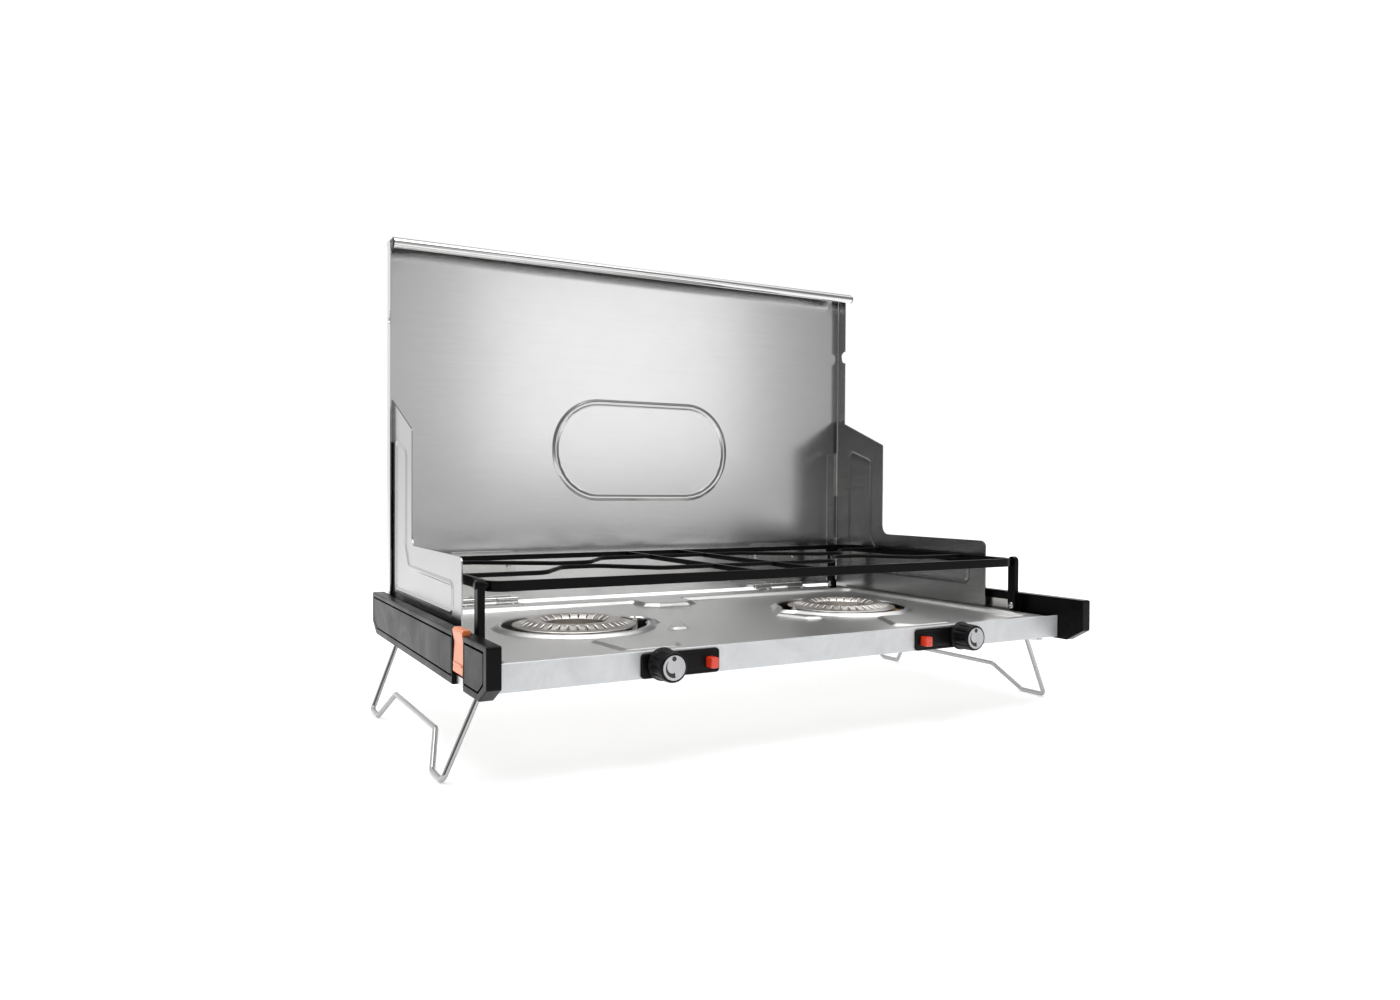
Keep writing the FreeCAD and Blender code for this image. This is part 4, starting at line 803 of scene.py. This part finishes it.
def hinges(name):
    leaf, tray_leaf = Box(f"lid_hinge_leaf_{name}"), Box(f"tray_hinge_leaf_{name}")
    pin = Box("lid_hinge_pins")
    x0, x1 = leaf.x0, leaf.x1
    third, gap, thick = (x1 - x0) / 3, 0.15, 0.8
    axis_y, axis_z, r = pin.mid[1], pin.mid[2], 2.5
    wall_y = leaf.y1

    def barrel(a, b):
        return tube(1.32, r, 0.2, a, b, (0, axis_y, axis_z), "x", 32)

    plate = rounded(rectangle(x0, axis_z + 3.2, x1, leaf.z1), [0.3, 0.3, 3, 3], steps=5)
    upper = prism(plate, "y", wall_y - thick, wall_y)
    strap = [(wall_y, axis_z + 4.0), (wall_y - thick, axis_z + 4.0), (wall_y - 0.9, axis_z + 2.6),
             (axis_y, axis_z + 2.4), (axis_y, axis_z + 1.6), (wall_y - 0.4, axis_z + 1.7),
             (wall_y, axis_z + 2.4)]
    middle = (x0 + third + gap, x1 - third - gap)
    piece(f"LidHinge.{name}", join(upper, prism(strap, "x", *middle), barrel(*middle)), "zinc", "lid",
          [f"lid_hinge_leaf_{name}"], bevel=0.15)
    low = tray_leaf.z0
    outline = rounded(rectangle(x0, tray_leaf.y0, x1, axis_y - 3.4), [3, 3, 0.3, 0.3], steps=5)
    lower = prism(outline, "z", low, low + thick)
    side_view = [(axis_y - 3.5, low), (axis_y + 1.6, low), (axis_y + 2.4, axis_z), (axis_y, axis_z),
                 (axis_y - 3.5, low + thick)]
    feet = []
    for ends in ((x0, x0 + third - gap), (x1 - third + gap, x1)):
        feet += [prism(side_view, "x", *ends), barrel(*ends)]
    piece(f"TrayHinge.{name}", join(lower, *feet), "zinc", "base", [f"tray_hinge_leaf_{name}"], bevel=0.15)


def rivets():
    lid_box, tray_box = Box("lid_rivets"), Box("tray_rivets")
    heads = []
    for side in SIDES.values():
        for x, z in ((136.5, lid_box.z1 - 2.2), (184.5, lid_box.z1 - 2.2), (160.5, lid_box.z0 + 2.2)):
            heads.append(dome((side * x, lid_box.y1, z), "y", 2.2, 1.0, -1))
    piece("LidRivets", join(*heads), "zinc", "lid", ["lid_rivets"])
    heads = [dome((side * x, tray_box.mid[1], tray_box.z0), "z", 2.2, 1.0, 1)
             for side in SIDES.values() for x in (138.5, 182.5)]
    piece("TrayRivets", join(*heads), "zinc", "base", ["tray_rivets"])


# ------------------------------------------------------------------ windscreens

def knuckle_span(leaf, step):
    """The bottom and the top of one knuckle of the windscreens' hinges, counted from below."""
    pitch, gap = 47, 0.2
    return leaf.z0 + step * pitch + gap, leaf.z0 + (step + 1) * pitch - gap


def screen_barrel(x, leaf, step):
    return tube(0.8, 1.5, 0.15, *knuckle_span(leaf, step), (x, leaf.y1 - 2.4, 0), "z", 24)


def windscreen(name, side):
    w = Box(f"windscreen_{name}")
    leaf = Box("screen_leaves")
    x = side * (leaf.x1 - 1.5)
    back = w.y1 - 3.5
    step_y, low_z, slope_z = 80.5, 136.5, 229.0
    outline = [(w.y0, w.z0), (back, w.z0), (back, w.z1), (step_y, slope_z), (step_y, low_z), (w.y0, low_z)]
    edge = rounded(outline, [0.8, 0.8, 1.5, 1.5, 9.0, 6.0], steps=7)
    line = [(-40, 97), (134, 97), (134, 224), (99, 212), (99, 134), (88, 119), (-40, 117)]
    path = rounded(line, [5, 5, 5, 7, 12, 9, 5], steps=6)
    rings = [(inset(edge, 0.4), 0.0), *bead(path, ((2.4, 0.0), (1.7, 0.25), (0.8, 0.75), (0.0, 0.95)))]
    sheet = relief((edge, -0.1), rings, lambda u, v, h: (x + side * (h + 0.5), u, v), thick=1.0)
    z0, z1 = knuckle_span(leaf, 1)
    barrel = screen_barrel(x, leaf, 1)
    web = block((x - 0.5, back - 0.6, z0), (x + 0.5, back + 0.9, z1))
    # the right windscreen takes the darker copy of the screen steel, painted shade
    look = "screen_steel" if side < 0 else "screen_shade"
    piece(f"Windscreen.{name}", join(sheet, barrel, web), look, f"screen_{name}", [f"windscreen_{name}"],
          sharp=50)


def screen_leaves():
    leaf = Box("screen_leaves")
    shapes = []
    for side in SIDES.values():
        x = side * (leaf.x1 - 1.5)
        strip = rounded(rectangle(x - side * 12, leaf.z0, x + side * 1, leaf.z1), [3, 0.3, 0.3, 3], steps=4)
        shapes.append(prism(strip, "y", leaf.y1 - 0.7, leaf.y1))
        for step in (0, 2):
            z0, z1 = knuckle_span(leaf, step)
            shapes.append(screen_barrel(x, leaf, step))
            shapes.append(block((x - 0.6, leaf.y1 - 1.6, z0), (x + 0.6, leaf.y1 - 0.4, z1)))
    piece("ScreenLeaves", join(*shapes), "zinc", "lid", ["screen_leaves"])


# ------------------------------------------------------------------ grate and posts

def grate():
    g = Box("grate_frame")
    thick, tall, slim = 3.0, g.z1 - g.z0, 4.5
    bars = Box("long_bars")
    side_x, front_y, back_y = 235.7, bars.y0 - 1.5, bars.y1 + 1.5
    # the front, the sides and the ends of the back bar are one flat bar; the rest of the back bar is slimmer
    joint_x = 205.0
    corners = [(joint_x, back_y, g.z1), (side_x, back_y, g.z1), (side_x, front_y, g.z1),
               (-side_x, front_y, g.z1), (-side_x, back_y, g.z1), (-joint_x, back_y, g.z1)]
    path = rounded(corners, 10.5, closed=False, steps=8)
    shapes = [sweep(path, bar_section(thick, tall), upright=True),
              sweep([(-joint_x - 0.5, back_y, g.z1 - 0.05), (joint_x + 0.5, back_y, g.z1 - 0.05)],
                    bar_section(thick - 0.1, slim), upright=True)]
    post = Box("post_front_right")
    py, pz = post.mid[1], post.z1 - 4.0
    back_post = Box("post_back_right")
    by = back_post.mid[1]
    head = [(2.6, 0.0), (2.6, 0.3), (2.3, 0.75), (1.2, 0.9), (0.01, 0.9)]
    for side in SIDES.values():
        shapes.append(lathe([(1.5, 0.0), (1.5, side * 8.0)], (side * 235.5, py, pz), "x", 20))
        shapes.append(lathe([(r, side * t) for r, t in head], (side * (post.x1 + 0.3), py, pz), "x", 24))
        inner = back_post.x1 + 0.4
        lug = rounded(rectangle(back_y, g.z0, by + 4, g.z1), [0.2, 3, 3, 0.2], steps=4)
        shapes.append(prism(lug, "x", *sorted((side * inner, side * (inner + 1.6)))))
        shapes.append(lathe([(1.5, 0.0), (1.5, -side * 6.6)], (side * (inner + 1), by, pz), "x", 20))
    piece("GrateFrame", join(*shapes), "grate_black", "grate", ["grate_frame"], sharp=40)
    # the rods bend at each burner: one comes forward, the other goes back
    rod, period = 1.75, 262.0
    for where, first, bends in (("front", -174.0, (28.0, 30.0, 37.0)), ("back", -197.0, (62.0, 28.0, 28.0))):
        b = Box(f"wave_bar_{where}")
        base_y, far_y = (b.y0 + rod, b.y1 - rod) if where == "front" else (b.y1 - rod, b.y0 + rod)
        z = b.z1 - rod
        line = [(-side_x + 1, base_y, z)]
        for start in (first, first + period):
            out, flat, back = bends
            line += [(start, base_y, z), (start + out, far_y, z), (start + out + flat, far_y, z),
                     (start + out + flat + back, base_y, z)]
        line.append((side_x - 1, base_y, z))
        path = rounded(line, 16.0, closed=False, steps=6)
        piece(f"WaveBar.{where}", sweep(path, circle((0, 0), rod, 14)), "grate_black", "grate",
              [f"wave_bar_{where}"], sharp=40)
    shapes = []
    for x in (bars.x0 + 1.5, bars.x1 - 1.5):
        line = [(x, front_y + 0.5, g.z1 - 0.2), (x, back_y - 0.5, g.z1 - 0.2)]
        shapes.append(sweep(line, bar_section(thick, slim - 0.4), upright=True))
    piece("LongBars", join(*shapes), "grate_black", "grate", ["long_bars"], sharp=40)


def posts():
    turns = [math.pi * i / 12 for i in range(13)]
    for where in ("front", "back"):
        for name in SIDES:
            node = f"post_{where}_{name}"
            p = Box(node)
            y, r = p.mid[1], (p.y1 - p.y0) / 2
            ends = [(y + r * math.cos(a), p.z1 - r + r * math.sin(a)) for a in turns]
            ends += [(y - r * math.cos(a), p.z0 + r - r * math.sin(a)) for a in turns]
            piece(f"Post.{where}.{name}", prism(ends, "x", p.x0, p.x1), "grate_black", f"{where}_post_{name}",
                  [node], bevel=0.6, segments=3)
    heads = []
    front_post, back_post = Box("post_front_right"), Box("post_back_right")
    for side in SIDES.values():
        for p, long in ((front_post, 6.4), (back_post, 6.2)):
            x = side * (p.x0 - 0.3)
            y, z = p.mid[1], p.z0 + 4.0
            turn = [(0.01, -0.7), (1.6, -0.68), (2.4, -0.45), (2.8, 0.0), (1.5, 0.0), (1.5, long)]
            heads.append(lathe([(r, side * t) for r, t in turn], (x, y, z), "x", 28))
    piece("PostScrews", join(*heads), "zinc", "base", ["post_screws"], sharp=40)


# ------------------------------------------------------------------ legs

def legs(name, side):
    # the pivot, the splay of the legs, and how far down the feet and the raised bar are along them
    px, pz = side * 243.5, 56.5
    splay = math.radians(24.2)
    foot, bar = 59.75, 37.6
    front_y, back_y = -107.0, 122.6
    route = [(front_y - 17, 0), (front_y, 0), (front_y, foot), (-82.0, foot), (-55.5, bar), (63.5, bar),
             (84.0, foot), (107.5, foot), (back_y, 0), (back_y + 17, 0)]
    line = [(px + side * down * math.sin(splay), y, pz - down * math.cos(splay)) for y, down in route]
    path = rounded(line, 4.5, closed=False, steps=8)
    wire = sweep(path, circle((0, 0), 2.0, 18))
    piece(f"Leg.{name}", wire, "chrome", f"leg_{name}", [f"leg_{name}"], sharp=50)


# ------------------------------------------------------------------ build

tray()
front()
lid()
rivets()
screen_leaves()
grate()
posts()
latch()
for name, side in SIDES.items():
    burner(name)
    controls(name)
    rail(name, side)
    hinges(name)
    windscreen(name, side)
    legs(name, side)

# the CAD nodes that stay visible take the look of their slot and a softened edge
for entry in frame["record"]["subparts"]:
    materials = frame["nodes"][entry["node"]].data.materials
    materials.clear()
    materials.append(LOOKS[entry["material_slot"]])
for node, width in (("bottom_cover", 0.3), ("leg_clips", 0.6), ("side_bracket_left", 0.25),
                    ("side_bracket_right", 0.25), ("latch_plate", 0.3), ("post_ears", 0.3),
                    ("gas_inlet", 0.25), ("valves", 0.5)):
    soften(frame["nodes"][node], width)


# ------------------------------------------------------------------ stage, light and camera

def stage():
    data = bpy.data.meshes.new("Floor")
    half = 30.0
    data.from_pydata([(*p, 0.0) for p in rectangle(-half, -half, half, half)], [], [(0, 1, 2, 3)])
    floor = bpy.data.objects.new("Floor", data)
    bpy.context.scene.collection.objects.link(floor)
    paper = Shader("FloorPaper", (0.80, 0.80, 0.80), 0.7, specular=0.1)
    # the floor glows a little, painted light that lifts the shadows on it
    paper.bsdf.inputs["Emission Color"].default_value = (1, 1, 1, 1)
    grain = paper.noise(60, detail=5)
    paper.shade(grain, 0.3, 0.7, 0.995, 1.005)
    # painted shade: the floor's colour and glow fall off towards the dark front of the studio
    split = paper.add("ShaderNodeSeparateXYZ")
    paper.link(paper.coord, split.inputs["Vector"])
    fall = paper.spread(split.outputs["Y"], -2.0, -0.8, 0.30, 1.0)
    paper.colors.append(fall)
    paper.link(paper.times(fall, FLOOR_GLOW), paper.bsdf.inputs["Emission Strength"])
    floor.data.materials.append(paper.done())


def softbox(name, place, target, size, power):
    light = bpy.data.lights.new(name, "AREA")
    light.shape = "RECTANGLE"
    light.size, light.size_y = size
    light.energy = power
    obj = bpy.data.objects.new(name, light)
    obj.location = place
    obj.rotation_euler = (Vector(target) - Vector(place)).to_track_quat("-Z", "Y").to_euler()
    bpy.context.scene.collection.objects.link(obj)


def world():
    """A white studio behind the stove, grey in front of it, with a soft glow to the front right."""
    sky = bpy.data.worlds.new("Studio")
    sky.use_nodes = True
    bpy.context.scene.world = sky
    tree = sky.node_tree
    coord = tree.nodes.new("ShaderNodeTexCoord").outputs["Generated"]

    def lobe(direction, start, end, low, high):
        """Goes from low to high as the direction comes within reach; start and end are cosines."""
        dot = tree.nodes.new("ShaderNodeVectorMath")
        dot.operation = "DOT_PRODUCT"
        tree.links.new(coord, dot.inputs[0])
        dot.inputs[1].default_value = Vector(direction).normalized()
        ramp = tree.nodes.new("ShaderNodeMapRange")
        ramp.interpolation_type = "SMOOTHSTEP"
        for key, value in (("From Min", start), ("From Max", end), ("To Min", low), ("To Max", high)):
            ramp.inputs[key].default_value = value
        tree.links.new(dot.outputs["Value"], ramp.inputs["Value"])
        return ramp.outputs["Result"]

    total = None
    for spot in SKY:
        value = lobe(*spot)
        if total is None:
            total = value
            continue
        add = tree.nodes.new("ShaderNodeMath")
        tree.links.new(total, add.inputs[0])
        tree.links.new(value, add.inputs[1])
        total = add.outputs[0]
    tree.links.new(total, tree.nodes["Background"].inputs["Strength"])
    tree.nodes["Background"].inputs["Color"].default_value = (1.0, 1.0, 1.0, 1)


# strength of the floor's glow, painted light that lifts its shadows
FLOOR_GLOW = 0.45
# each lobe of the studio: direction, cosines where it starts and is full, light outside and inside it
SKY = [
    ((0.05, 1.0, 0.1), -0.35, 0.25, 0.17, 1.02),
    ((0.36, -0.93, 0.10), 0.90, 0.997, 0.0, 0.48),
    ((0.0, 0.0, 1.0), 0.45, 0.95, 0.0, 0.35),
]
stage()
world()
softbox("TopLight", (-0.2, -0.3, 2.4), (0, 0, 0.1), (2.2, 1.8), 30)
softbox("FrontLight", (1.1, -2.3, 0.65), (0, 0, 0.2), (1.0, 0.9), 2.2)

camera = bpy.data.objects.new("Camera", bpy.data.cameras.new("Camera"))
camera.data.sensor_width = 36
camera.data.lens = 24.58
camera.data.shift_x = 0.0143
camera.data.clip_start = 0.01
camera.location = (-0.4236, -0.6916, 0.1839)
heading, tilt, roll = 0.5033, 0.0132, 0.0050
look = Vector((math.sin(heading) * math.cos(tilt), math.cos(heading) * math.cos(tilt), -math.sin(tilt)))
camera.rotation_mode = "QUATERNION"
camera.rotation_quaternion = look.to_track_quat("-Z", "Y") @ Euler((0, 0, roll)).to_quaternion()
bpy.context.scene.collection.objects.link(camera)
bpy.context.scene.camera = camera
bpy.context.scene.view_settings.view_transform = "Standard"

bpy.context.view_layer.update()
